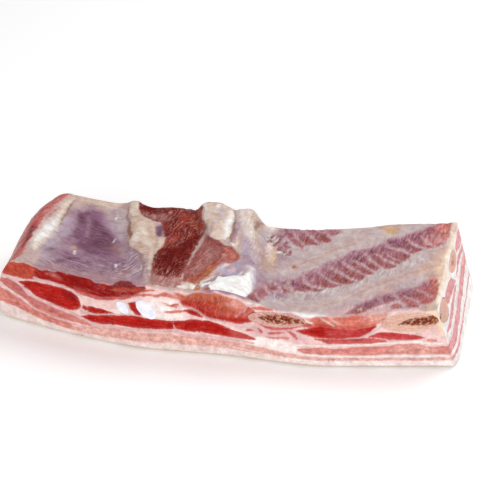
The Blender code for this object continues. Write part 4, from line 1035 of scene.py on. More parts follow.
def marks_by_the_ribs(p):
    """Creases, flecks and threads on the bands and the muscles."""
    for x, y in ((5, 16), (9, 20), (12, 27), (24, 19), (30, 21), (46, 24), (58, 25), (70, 31), (80, 38),
                 (88, 41), (98, 50)):
        p.wash("shell", 3, (x - 1.5, y - 6, 0.2), (x, y, 0.9), (x + 1.6, y + 5, 0.1), amount=0.8)
    p.turn("wisp", 1.4, 7, (10, 10, 3), (24, 18, 3), (42, 22, 3), (60, 27, 3), (80, 38, 4), (100, 51, 4))
    # Painted shade: brown creases along the two ribs, with tan shade beside them.
    p.crease((30, 47.5, -0.5), (43, 57, -0.3), (58, 65.5, -0.35), (74, 74, -0.5))
    p.wash("tan", 2.5, (29, 46.5, 0.3), (34, 51, 0.6), (43, 57, 0.6), (56, 64, 0.5), (70, 72, 0.2),
           amount=0.5)
    p.crease((36, 4, -0.5), (46.5, 10, -0.3), (60, 16, -0.25), (73.5, 24.5, -0.25), (95, 35, -0.3),
             (112, 42.5, -0.5))
    p.wash("tan", 2.5, (36, 4, 0.2), (46.5, 10, 0.5), (60, 16, 0.6), (73.5, 24.5, 0.6), (95, 35, 0.6),
           (112, 42.5, 0.3), amount=0.55)
    p.wash("rust", 1.4, (26.8, 44.3, 1.5), amount=0.98)
    p.wash("honey", 3, (83.5, 80, 1.2), (86, 83, 2), (87, 78, 2.8), (91, 80.5, 1.6), amount=0.9)
    p.wash("tan", 6, (82, 84, 2), (92, 84, 2), amount=0.4)
    # A painted cream highlight along the back edge.
    p.wash("cream_highlight", 2.2, (28, 87.5, 0.8), (60, 86.5, 0.9), (90, 86.5, 0.9), (122, 88, 0.8), amount=0.85)
    p.wash("peach", 2.5, (82.5, 22, 0.8), (66, 15, 0.6), amount=0.6)
    p.stain("rust", 2, (118, 76, 1.3), (120, 76, 1), amount=0.7)
    p.pale("ivory", (63.2, 4.6, 0.8), (64.3, 5, 0.5))
    p.stain("rust", 1.6, (62.5, 3.4, 1.4), (65.5, 4, 1), amount=0.8)
    p.pale("shell", (21, 26.5, 0.9), (21.5, 24.5, 0.7))


def highlight_at_the_right_cut(p):
    """The cream rim along the right cut, painted as a highlight on its rounded edge."""
    p.wash("cream_highlight", 4, (109, 6, 2), (111, 14, 2.5), (116, 36, 3), (120, 52, 2.5), (123, 66, 2),
           (128, 88, 2))
    p.wash("butter", 4, (104, 2, 1.5), (110, 14, 1.5), (114, 30, 1.2), (112, 38, 2), amount=0.55)
    p.wash("tan", 4, (98, 0, 1.5), (106, 2, 2), amount=0.6)
    p.pale("cream_highlight", (108.4, 3, 0.6), (111.5, 12, 1.4), (116, 34, 2.2), (119.5, 50, 1.9), (123, 66, 1.4),
           (128.5, 88, 1.4))
    p.tone("butter", 3, (105, 2, 1.5), (110, 14, 1), amount=0.6)
    p.bare("lean", (108.5, -2, 1.4), (113, 16, 1.6), (117.5, 36, 2), (124, 66, 1.4), (129.5, 88, 1.8))


def paint_top(s, t):
    """The rib side, by s and t."""
    x = s + 1.1 * wander(s, t, 8, 61, 4) + 0.3 * wander(s, t, 3, 63)
    y = t + 1.1 * wander(s, t, 8, 62, 4) + 0.3 * wander(s, t, 3, 64)
    p = Paint(x, y, "lilac", soft=0.9)
    p.run(-14, (-160, 43, 60), (140, 43, 60))
    for part in (film_on_the_left, lean_at_the_left_cut, dark_notches, band_of_fat, thin_muscle,
                 lip_of_the_muscle, lobe_of_the_muscle, fat_at_the_front_edge, fat_at_the_back_edge,
                 folded_film, torn_film, bands_over_the_ribs, rib_muscles, marks_by_the_ribs,
                 highlight_at_the_right_cut):
        part(p)
    waves = 1.5 * wander(s, t, 14, 65, 2) + 0.35 * wander(s, t, 4, 66, 2)
    p.grain = p.grain + np.stack([0 * s, waves], -1)
    return p


# ---------------------------------------------------------------------------------------------
# Relief
# ---------------------------------------------------------------------------------------------
def top_relief(s, t, p):
    """Fine relief of the rib side in mm."""
    z = 0.25 * wander(s, t, 14, 71, 3) + 0.10 * wander(s, t, 3.2, 72, 2)
    # fat stands up with a round edge, and is lumpy
    pale = p.depth["pale"] + 0.8 * wander(s, t, 4, 76, 2)
    lumpy = np.clip(p.wisp, 0.0, 1.0)
    z += 1.05 * np.sqrt(np.clip((pale + 0.8) / 3.5, 0.0, 1.0))
    z += smooth(pale) * lumpy * 0.65 * wander(s, t, 6, 77, 2)
    # lean and film have strokes along their grain
    lean = smooth(0.5 + p.depth["lean"] / 2.0)
    strokes = wander(p.grain[..., 0] / 4.5, p.grain[..., 1], 1.9, 73, 2)
    z += lean * (0.42 * p.streak * strokes + 0.35)
    z += 0.22 * (1 - lean) * lumpy * strokes
    # the folded edge, and wrinkles in the film on the left
    folds = smooth(0.5 + depth_in(s, t, ((-2, 92, 10), (2, 50, 10), (4, 24, 7))) / 8)
    z += folds * 0.8 * wander(s, t / 6, 5.5, 74, 2)
    film = smooth(0.5 + depth_in(s, t, ((-112, 70, 30), (-100, 20, 36))) / 20)
    z += film * 0.20 * wander(s / 3 + t / 9, t / 2 - s / 9, 5, 75, 2)
    return z - 0.7 * smooth(0.5 + (p.seam + 0.2) / 1.4)


def wall_relief(a, z, p, seed):
    """Fine relief of a cut face in mm, outwards: fat stands a little proud of lean."""
    lean = smooth(0.5 + p.depth["lean"] / 1.4) * (1 - smooth(0.5 + p.depth["pale"] / 1.0))
    out = 0.28 * wander(a, z * 1.6, 16, seed, 2) + 0.10 * wander(a / 2.2, z, 2.2, seed + 5, 2)
    out = out - 0.40 * lean + lean * 0.16 * wander(a / 2, z, 1.8, seed + 9, 2)
    return out + lean * np.clip(p.streak - 0.5, 0, 1) * 1.1 * wander(a, z / 3, 1.5, seed + 13, 2)


# ---------------------------------------------------------------------------------------------
# The strip's mesh
# ---------------------------------------------------------------------------------------------
FRONT, RIGHT, BACK, LEFT, TOP, UNDER, BED = range(7)
ROWS = LOW_ROWS + MIDDLE_ROWS + HIGH_ROWS + 1
RING = 2 * (ALONG + ACROSS)
SIDES = 7               # of the strip, with its beds
SETTLING = 8            # rounds in which the walls' lean and the height of their edge agree


def wall_heights(top):
    """Heights of the rows of points up a wall whose upper edge is at top, one row of them a row."""
    rows = np.arange(ROWS)[:, None]
    low = RIND_RADIUS * (1 - np.cos(math.pi / 2 * np.clip(rows / LOW_ROWS, 0, 1)))
    middle = np.clip((rows - LOW_ROWS) / MIDDLE_ROWS, 0, 1) * (top - CUT_RADIUS - RIND_RADIUS)
    high = CUT_RADIUS * np.sin(math.pi / 2 * np.clip((rows - LOW_ROWS - MIDDLE_ROWS) / HIGH_ROWS, 0, 1))
    return low + middle + high


def rim_places():
    """u along and v across the strip of the places round its rim, from 0 to 1."""
    along = np.arange(ALONG) / ALONG
    across = np.arange(ACROSS) / ACROSS
    u = np.concatenate([along, np.ones(ACROSS), 1 - along, np.zeros(ACROSS)])
    v = np.concatenate([np.zeros(ALONG), across, np.ones(ALONG), 1 - across])
    return u, v


def plan(s, t, z):
    """Places in the strip to millimetres about the origin."""
    return np.stack([s - CENTRE[0], front_y(s) + t - CENTRE[1], z], -1)


def unplan(points):
    """Millimetres about the origin back to places in the strip."""
    s = points[:, 0] + CENTRE[0]
    return s, points[:, 1] + CENTRE[1] - front_y(s), points[:, 2]


def wall_points():
    """s, t and z of every point of the walls, row by row."""
    u, v = rim_places()
    t = WIDTH * v[None, :] + np.zeros((ROWS, 1))
    height = np.ones_like(t)
    for _ in range(SETTLING):
        left, right = cut_ends(t, height)
        s = left + (right - left) * u
        top = top_z(s, t)
        z = wall_heights(top)
        height = z / top
    inset = edge_inset(z, top)
    s = left + inset + (right - left - 2 * inset) * u
    t = inset + (WIDTH - 2 * inset) * v + WALL_BULGE * np.sin(math.pi * height) * (2 * v - 1)
    return s, t, z


def face_points(row_height, inset):
    """s and t of the points inside the rim of the upper face (1) or of the underside (0)."""
    u, v = np.meshgrid(np.arange(1, ALONG) / ALONG, np.arange(1, ACROSS) / ACROSS, indexing="ij")
    left, right = cut_ends(WIDTH * v, np.full(u.shape, float(row_height)))
    return left + inset + (right - left - 2 * inset) * u, inset + (WIDTH - 2 * inset) * v


def blank_strip():
    """The whole strip with smooth faces, each marked with its side."""
    inner = (ALONG - 1) * (ACROSS - 1)
    wall = plan(*wall_points()).reshape(-1, 3)
    s, t = face_points(1, CUT_RADIUS)
    upper = plan(s, t, top_z(s, t)).reshape(-1, 3)
    s, t = face_points(0, RIND_RADIUS)
    under = plan(s, t, 0 * s).reshape(-1, 3)
    index = np.arange(ROWS * RING).reshape(ROWS, RING)
    upper_index = ROWS * RING + np.arange(inner).reshape(ALONG - 1, ACROSS - 1)
    faces, corners, sides = strip_faces(index, upper_index, upper_index + inner)
    mesh = mesh_from("strip", np.concatenate([wall, upper, under]), faces, corners)
    mesh.polygons.foreach_set("material_index", sides.astype(np.int32))
    return mesh


def whole_grid(ring_row, inner_index):
    """A face's grid of point numbers, its rim taken from a row of the walls."""
    grid = np.zeros((ALONG + 1, ACROSS + 1), dtype=int)
    grid[1:-1, 1:-1] = inner_index
    grid[:-1, 0] = ring_row[:ALONG]
    grid[-1, :-1] = ring_row[ALONG:ALONG + ACROSS]
    grid[ALONG:0:-1, -1] = ring_row[ALONG + ACROSS:2 * ALONG + ACROSS]
    grid[0, ACROSS:0:-1] = ring_row[2 * ALONG + ACROSS:]
    return grid


SHEET = 345.0       # side of the square texture sheet, in mm of the strip
SHEET_GAP = 1.5     # between the faces there
SHEET_LONG = 300.0  # the strip's length and the walls' height there
SHEET_HIGH = 52.0


def strip_faces(index, top_index, low_index):
    """Four-cornered faces, where their corners lie on the texture sheet, and the side of each."""
    faces, corners, sides = [], [], []

    def add(side, grid, start, size, flip=False):
        """A grid of faces, laid out as a rectangle of the texture sheet."""
        shape = grid.shape
        steps = [np.linspace(0, size[k], shape[k]) + start[k] for k in range(2)]
        x, y = np.meshgrid(*steps, indexing="ij")
        loops = [part[a, b] for part in (grid, x, y) for a, b in (
            (slice(None, -1), slice(None, -1)), (slice(1, None), slice(None, -1)),
            (slice(1, None), slice(1, None)), (slice(None, -1), slice(1, None)))]
        order = (3, 2, 1, 0) if flip else (0, 1, 2, 3)
        faces.append(np.stack([loops[k] for k in order], -1).reshape(-1, 4))
        xs = np.stack([loops[4 + k] for k in order], -1).reshape(-1, 4)
        ys = np.stack([loops[8 + k] for k in order], -1).reshape(-1, 4)
        corners.append(np.stack([xs, ys], -1))
        sides.append(np.full(len(xs), side))

    gap = SHEET_GAP
    add(TOP, whole_grid(index[-1], top_index), (gap, gap), (SHEET_LONG, WIDTH))
    add(UNDER, whole_grid(index[0], low_index), (gap, 2 * gap + WIDTH), (SHEET_LONG, WIDTH), flip=True)
    row = 3 * gap + 2 * WIDTH
    next_row = SHEET_HIGH + gap
    starts = {FRONT: (gap, row), BACK: (gap, row + next_row), RIGHT: (gap, row + 2 * next_row),
              LEFT: (2 * gap + WIDTH, row + 2 * next_row)}
    first = 0
    for side, count in enumerate((ALONG, ACROSS, ALONG, ACROSS)):
        cols = np.arange(first, first + count + 1) % RING
        length = SHEET_LONG if side in (FRONT, BACK) else WIDTH
        add(side, index[:, cols].T, starts[side], (length, SHEET_HIGH))
        first += count
    return np.concatenate(faces), np.concatenate(corners) / SHEET, np.concatenate(sides)


# ---------------------------------------------------------------------------------------------
# Painting and relief of the whole strip
# ---------------------------------------------------------------------------------------------
FILM_LIP = (0.9, 0.9, 0.9, 0.35)    # mm, about how far down each cut the film shows
RIND_SHOWS = 1.1                    # and how far up them the rind does
PAINTERS = {FRONT: paint_front, RIGHT: paint_right, BACK: paint_back, LEFT: paint_left}


class Skin:
    """The attributes of all points, in the order of the mesh."""

    SCALARS = ("lean", "pale", "seam", "soft", "streak", "wisp")

    def __init__(self, count):
        self.values = {name: np.full(count, -FAR) for name in self.SCALARS}
        self.colours = {name: np.zeros((count, 3)) for name in ("base_tint", "lean_tint", "pale_tint")}
        self.grain = np.zeros((count, 3))
        self.place = np.zeros((count, 3))

    def store(self, where, p):
        """Keeps what a painter gives for some of the points."""
        for name in self.SCALARS:
            self.values[name][where] = p.depth[name] if name in p.depth else getattr(p, name)
        self.colours["base_tint"][where] = p.base
        self.colours["lean_tint"][where] = p.tint["lean"]
        self.colours["pale_tint"][where] = p.tint["pale"]
        self.grain[where, :2] = p.grain


def film_lip(side, a):
    """How far down a cut the film over the rib side shows, in mm. It stops short at the notches."""
    lip = FILM_LIP[side] * (1 + 0.8 * wander(a, 0 * a, 5, 81 + side, 3))
    if side == FRONT:
        lip = lip - 2.0 * sum(smooth(0.5 + depth_in(a, 0 * a, notch) / 3) for notch in NOTCHES)
    return lip


def dress(s, t, z, side_of):
    """Paints every point and gives it its relief. Returns the attributes and the points in mm."""
    skin = Skin(len(s))
    skin.place = np.stack([s, t, z], -1)
    top = top_z(s, t)
    upper = (side_of == TOP) | (z > 0.5 * top)
    film = paint_top(s[upper], t[upper])
    lift = np.zeros_like(s)
    lift[upper] = top_relief(s[upper], t[upper], film)
    film_base = np.zeros((len(s), 3))
    film_base[upper] = film.base
    on_top = side_of[upper] == TOP
    skin.store(side_of == TOP, film.only(on_top))
    height = np.clip(z / top, 0.0, 1.0)
    left, right = cut_ends(t, height)
    out = np.zeros_like(s)
    for side, painter in PAINTERS.items():
        here = side_of == side
        a = (s if side in (FRONT, BACK) else t)[here]
        p = painter(a, z[here])
        below_film = (top - z)[here]
        lip = film_lip(side, a)
        share = smooth(0.5 + (lip - below_film) / 0.7)
        p.base = p.base * (1 - share[:, None]) + film_base[here] * share[:, None]
        for layer in ("lean", "pale"):
            p.depth[layer] = np.minimum(p.depth[layer], (below_film - lip) * 1.5)
        skin_line = RIND_SHOWS * (1 + 0.4 * wander(a, 0 * a, 8, 91 + side, 2))
        rind = smooth(0.5 + (skin_line - z[here]) / 0.8)[:, None]
        p.base = p.base * (1 - rind) + np.array(TINTS["rind"]) * rind
        skin.store(here, p)
        ends = np.minimum(s - left, right - s) if side in (FRONT, BACK) else np.minimum(t, WIDTH - t)
        fade = smooth(z[here] / 4) * smooth(0.2 + below_film / 2.5) * smooth(ends[here] / 5)
        out[here] = (wall_relief(a, z[here], p, 101 + 20 * side) + 0.3 * share) * fade
    under = side_of == UNDER
    skin.store(under, Paint(s[under], t[under], "rind"))
    push_t = np.select([side_of == FRONT, side_of == BACK], [-1.0, 1.0], 0.0)
    push_s = np.select([side_of == LEFT, side_of == RIGHT], [-1.0, 1.0], 0.0)
    return skin, plan(s + out * push_s, t + out * push_t, z + lift * height ** 6)


# ---------------------------------------------------------------------------------------------
# Bones and cartilage
# ---------------------------------------------------------------------------------------------
# Path, half width, half height, which end is a rounded tip, and how far the section leans
RODS = {
    "rib_front": (RIB_FRONT, 6.8, 4.9, None, 0.0),
    "rib_corner": (RIB_CORNER, 6.8, 6.3, None, 0.0),
    "rib_back": (RIB_BACK, 6.8, 5.0, "first", 0.0),
    "cartilage_small": (CARTILAGE_SMALL, 3.1, 3.9, "last", -0.35),
    "cartilage_large": (CARTILAGE_LARGE, 5.0, 6.2, "last", -0.45),
}
GAP = 0.32              # the rods fill the gap that the solids leave round them
BED_GAP = 0.03          # and lie this free of their beds
TIP_LENGTH = 9.0        # mm, of a rounded tip
TIP_BLUNT = 0.25        # share of the full section at the very end of one
ROD_STATIONS = 60       # places along a rod's path
ROD_ROUND = 64          # and round it
CAP_RINGS = 14          # rings of points on a cut end
SHELL_ROWS = 38         # and round the rod between its ends


def smooth_path(path, count):
    """Evenly stepped points along a smooth curve through a path's own points."""
    path = np.array(path, dtype=float)
    knots = np.concatenate([[2 * path[0] - path[1]], path, [2 * path[-1] - path[-2]]])
    at = np.linspace(0, len(path) - 1, count)
    k = np.minimum(at.astype(int), len(path) - 2)
    f = (at - k)[:, None]
    p0, p1, p2, p3 = knots[k], knots[k + 1], knots[k + 2], knots[k + 3]
    return 0.5 * (2 * p1 + (p2 - p0) * f + (2 * p0 - 5 * p1 + 4 * p2 - p3) * f ** 2
                  + (3 * p1 - p0 - 3 * p2 + p3) * f ** 3)


def rod_frame(name, grow=0.0):
    """Centres of a rod in mm about the origin, and its two half axes at each."""
    path, half_width, half_height, tip, leaning = RODS[name]
    centre = plan(*smooth_path(path, ROD_STATIONS).T)
    ahead = np.gradient(centre, axis=0)
    ahead /= np.linalg.norm(ahead, axis=1, keepdims=True)
    side = np.cross(ahead, [0.0, 0.0, 1.0])
    side /= np.linalg.norm(side, axis=1, keepdims=True)
    up = np.cross(side, ahead)
    radius = np.ones(ROD_STATIONS)
    if tip:
        end = centre[0 if tip == "first" else -1]
        inside = np.clip(np.linalg.norm(centre - end, axis=1) / TIP_LENGTH, 0, 1)
        radius = TIP_BLUNT + (1 - TIP_BLUNT) * np.sqrt(1 - (1 - inside) ** 2)
    up = (up + side * leaning) * (radius * (half_height + grow))[:, None]
    return centre, side * (radius * (half_width + grow))[:, None], up


def bed_mesh(name):
    """A closed tube round a rod, for cutting its bed."""
    centre, side, up = rod_frame(name, GAP + BED_GAP)
    turn = np.linspace(0, 2 * math.pi, ROD_ROUND // 2, endpoint=False)
    points = centre[:, None] + side[:, None] * np.cos(turn)[:, None] + up[:, None] * np.sin(turn)[:, None]
    count = len(turn)
    index = np.arange(ROD_STATIONS * count).reshape(ROD_STATIONS, count)
    follow = np.roll(index, -1, axis=1)
    quads = np.stack([index[:-1], follow[:-1], follow[1:], index[1:]], -1).reshape(-1, 4).tolist()
    faces = quads + [index[0][::-1].tolist(), index[-1].tolist()]
    mesh = bpy.data.meshes.new(name + "_bed")
    mesh.from_pydata((points.reshape(-1, 3) * MM).tolist(), [], faces)
    mesh.flip_normals()
    for _ in range(SIDES):
        mesh.materials.append(None)
    mesh.polygons.foreach_set("material_index", np.full(len(faces), BED, dtype=np.int32))
    return mesh


def room_inside(points):
    """How far places are inside the strip's four cuts in mm."""
    s, t, z = unplan(points)
    height = np.clip(z / top_z(s, np.clip(t, 0, WIDTH)), 0.0, 1.0)
    swell = WALL_BULGE * np.sin(math.pi * height)
    left, right = cut_ends(t, height)
    return np.minimum(np.minimum(t + swell, WIDTH + swell - t), np.minimum(s - left, right - s))


def rod_surface(name):
    """A rod cut off where it meets the strip's cuts.

    Returns its points and faces, how deep each point is in marrow, and its place in the strip.
    """
    centre, side, up = rod_frame(name, GAP)
    turn = np.linspace(0, 2 * math.pi, ROD_ROUND, endpoint=False)
    share = np.linspace(1, 0, CAP_RINGS + 1)[:-1]
    a = np.concatenate([(share[:, None] * np.cos(turn)).ravel(), [0.0]])
    b = np.concatenate([(share[:, None] * np.sin(turn)).ravel(), [0.0]])
    fibres = centre[:, None] + side[:, None] * a[:, None] + up[:, None] * b[:, None]
    room = room_inside(fibres.reshape(-1, 3)).reshape(fibres.shape[:2])
    inside = room > 0
    first, last = np.argmax(inside, 0), ROD_STATIONS - 1 - np.argmax(inside[::-1], 0)
    none = ~inside.any(0)
    best = np.argmax(room, 0)
    first, last = np.where(none, best, first), np.where(none, best, last)
    cols = np.arange(len(a))

    def crossing(inner, outer):
        """Where each fibre of the rod meets a cut, in stations."""
        outer = np.clip(outer, 0, ROD_STATIONS - 1)
        r0, r1 = room[inner, cols], room[outer, cols]
        part = np.where((r0 > 0) & (r1 < 0), r0 / np.where(r0 - r1 == 0, 1, r0 - r1), 0.0)
        return inner + (outer - inner) * part

    enter, leave = crossing(first, first - 1), crossing(last, last + 1)

    def at(place, col):
        """Points on fibres, at places given in stations."""
        k = np.clip(place.astype(int), 0, ROD_STATIONS - 2)
        f = (place - k)[..., None]
        return fibres[k, col] * (1 - f) + fibres[k + 1, col] * f

    spacing = np.linalg.norm(np.diff(centre, axis=0), axis=1).mean()
    core = np.hypot(a, b)
    start_cap = at(enter + cap_pits(at(enter, cols), core, 201) / spacing, cols)
    end_cap = at(leave - cap_pits(at(leave, cols), core, 202) / spacing, cols)
    steps = np.linspace(0, 1, SHELL_ROWS + 2)[1:-1, None]
    rim = cols[:ROD_ROUND]
    shell = at(enter[rim] + (leave[rim] - enter[rim]) * steps, np.broadcast_to(rim, (len(steps), ROD_ROUND)))
    points = np.concatenate([start_cap, end_cap, shell.reshape(-1, 3)])
    count = len(a)
    caps = [np.arange(count), np.arange(count) + count]
    rows = 2 * count + np.arange(SHELL_ROWS * ROD_ROUND).reshape(-1, ROD_ROUND)
    loops = np.concatenate([[caps[0][:ROD_ROUND]], rows, [caps[1][:ROD_ROUND]]])
    follow = np.roll(loops, -1, axis=1)
    faces = np.stack([loops[:-1], loops[1:], follow[1:], follow[:-1]], -1).reshape(-1, 4).tolist()
    for cap, flip in ((caps[0], False), (caps[1], True)):
        rings = cap[:-1].reshape(CAP_RINGS, ROD_ROUND)
        follow = np.roll(rings, -1, axis=1)
        quads = np.stack([rings[:-1], follow[:-1], follow[1:], rings[1:]], -1)
        middle = np.stack([rings[-1], follow[-1], np.full(ROD_ROUND, cap[-1])], -1)
        quads, middle = (quads[..., ::-1], middle[..., ::-1]) if flip else (quads, middle)
        faces += quads.reshape(-1, 4).tolist() + middle.tolist()
    cores = np.concatenate([core, core, np.ones(rows.size)])
    place = np.stack(unplan(points), -1)
    return points, faces, marrow_depth(place, cores), place


# The marrow in the front cut, by s and z: one part for each of the two ribs, with nothing between
MARROW_FRONT = ((5.5, 33, 0.6), (10, 33.3, 2.6), (17, 33.4, 3.4), (22, 33.4, 2.6), (29, 33.6, 1.2),
                (60, 20, -8),
                (88, 34, 0.6), (92, 34.6, 2.2), (100, 35.4, 3), (106, 36.2, 3), (110, 36.6, 1))


def marrow_depth(place, core):
    """How deep places of a cut bone are inside its marrow, in mm."""
    s, t, z = place.T
    inner = np.where(s > 100, 1.6 * (0.30 - core), 2.5 * (0.75 - core))
    return np.where(t < 12, depth_in(s, z, MARROW_FRONT), inner)


def cap_pits(points, core, seed):
    """How far the cut end of a bone is pitted, in mm along the bone."""
    s, t, z = unplan(points)
    pits = smooth(0.1 + 1.4 * wander(s + t, z, 1.3, seed, 2))
    return 0.05 + 1.1 * pits * smooth(0.5 + marrow_depth(np.stack([s, t, z], -1), core))


def mesh_from(name, points, faces, corners=None):
    """A mesh from arrays, with a texture layout if one is given."""
    mesh = bpy.data.meshes.new(name)
    mesh.from_pydata((np.asarray(points) * MM).tolist(), [], list(map(list, faces)))
    if corners is not None:
        layer = mesh.uv_layers.new(name="OFBake")
        layer.data.foreach_set("uv", corners.reshape(-1).astype(np.float32))
    mesh.shade_smooth()
    return mesh


def add_values(mesh, name, values):
    """A number for each point."""
    mesh.attributes.new(name, "FLOAT", "POINT").data.foreach_set("value", values.astype(np.float32))


def add_vectors(mesh, name, values):
    """A vector for each point."""
    layer = mesh.attributes.new(name, "FLOAT_VECTOR", "POINT")
    layer.data.foreach_set("vector", values.astype(np.float32).ravel())


def add_colours(mesh, name, values):
    """A colour for each point."""
    layer = mesh.attributes.new(name, "FLOAT_COLOR", "POINT")
    rgba = np.concatenate([values, np.ones((len(values), 1))], 1)
    layer.data.foreach_set("color", rgba.astype(np.float32).ravel())


# ---------------------------------------------------------------------------------------------
# Materials
# ---------------------------------------------------------------------------------------------
class Graph:
    """Short calls for building one material's nodes."""

    def __init__(self, name):
        self.material = bpy.data.materials.new(name)
        self.material.use_nodes = True
        self.tree = self.material.node_tree
        self.shader = self.tree.nodes["Principled BSDF"]

    def feed(self, socket, value):
        """Links an input to another node, or sets its value."""
        if isinstance(value, bpy.types.NodeSocket):
            self.tree.links.new(value, socket)
        elif isinstance(value, tuple) and len(value) == 3 and socket.type == "RGBA":
            socket.default_value = value + (1.0,)
        else:
            socket.default_value = value

    def node(self, kind, inputs, **settings):
        made = self.tree.nodes.new(kind)
        for key, value in settings.items():
            setattr(made, key, value)
        for key, value in inputs.items():
            self.feed(made.inputs[key], value)
        return made

    def math(self, operation, a, b=0.0, c=0.0):
        return self.node("ShaderNodeMath", {0: a, 1: b, 2: c}, operation=operation).outputs[0]

    def value(self, name):
        return self.node("ShaderNodeAttribute", {}, attribute_name=name).outputs["Fac"]

    def colour(self, name):
        return self.node("ShaderNodeAttribute", {}, attribute_name=name).outputs["Color"]

    def vector(self, name, stretch=(1.0, 1.0, 1.0)):
        found = self.node("ShaderNodeAttribute", {}, attribute_name=name).outputs["Vector"]
        return self.node("ShaderNodeVectorMath", {0: found, 1: stretch}, operation="MULTIPLY").outputs[0]

    def noise(self, vector, scale, detail=2.0, roughness=0.5):
        inputs = {"Vector": vector, "Scale": scale, "Detail": detail, "Roughness": roughness}
        return self.node("ShaderNodeTexNoise", inputs).outputs["Fac"]

    def cells(self, vector, scale):
        return self.node("ShaderNodeTexVoronoi", {"Vector": vector, "Scale": scale}).outputs["Distance"]

    def step(self, value, low, high):
        """A smooth step from 0 at low to 1 at high."""
        inputs = {"Value": value, "From Min": low, "From Max": high}
        made = self.node("ShaderNodeMapRange", inputs, interpolation_type="SMOOTHSTEP")
        return made.outputs["Result"]

    def mix(self, factor, a, b, blend="MIX"):
        made = self.node("ShaderNodeMix", {}, data_type="RGBA", blend_type=blend)
        self.feed(made.inputs["Factor"], factor)
        self.feed(made.inputs[6], a)
        self.feed(made.inputs[7], b)
        return made.outputs[2]

    def bump(self, height, distance, strength):
        inputs = {"Height": height, "Distance": distance, "Strength": strength}
        return self.node("ShaderNodeBump", inputs).outputs["Normal"]

    def finish(self, **inputs):
        """Feeds the shader, whose inputs are named with _ for a space."""
        for key, value in inputs.items():
            self.feed(self.shader.inputs[key.replace("_", " ")], value)
        return self.material


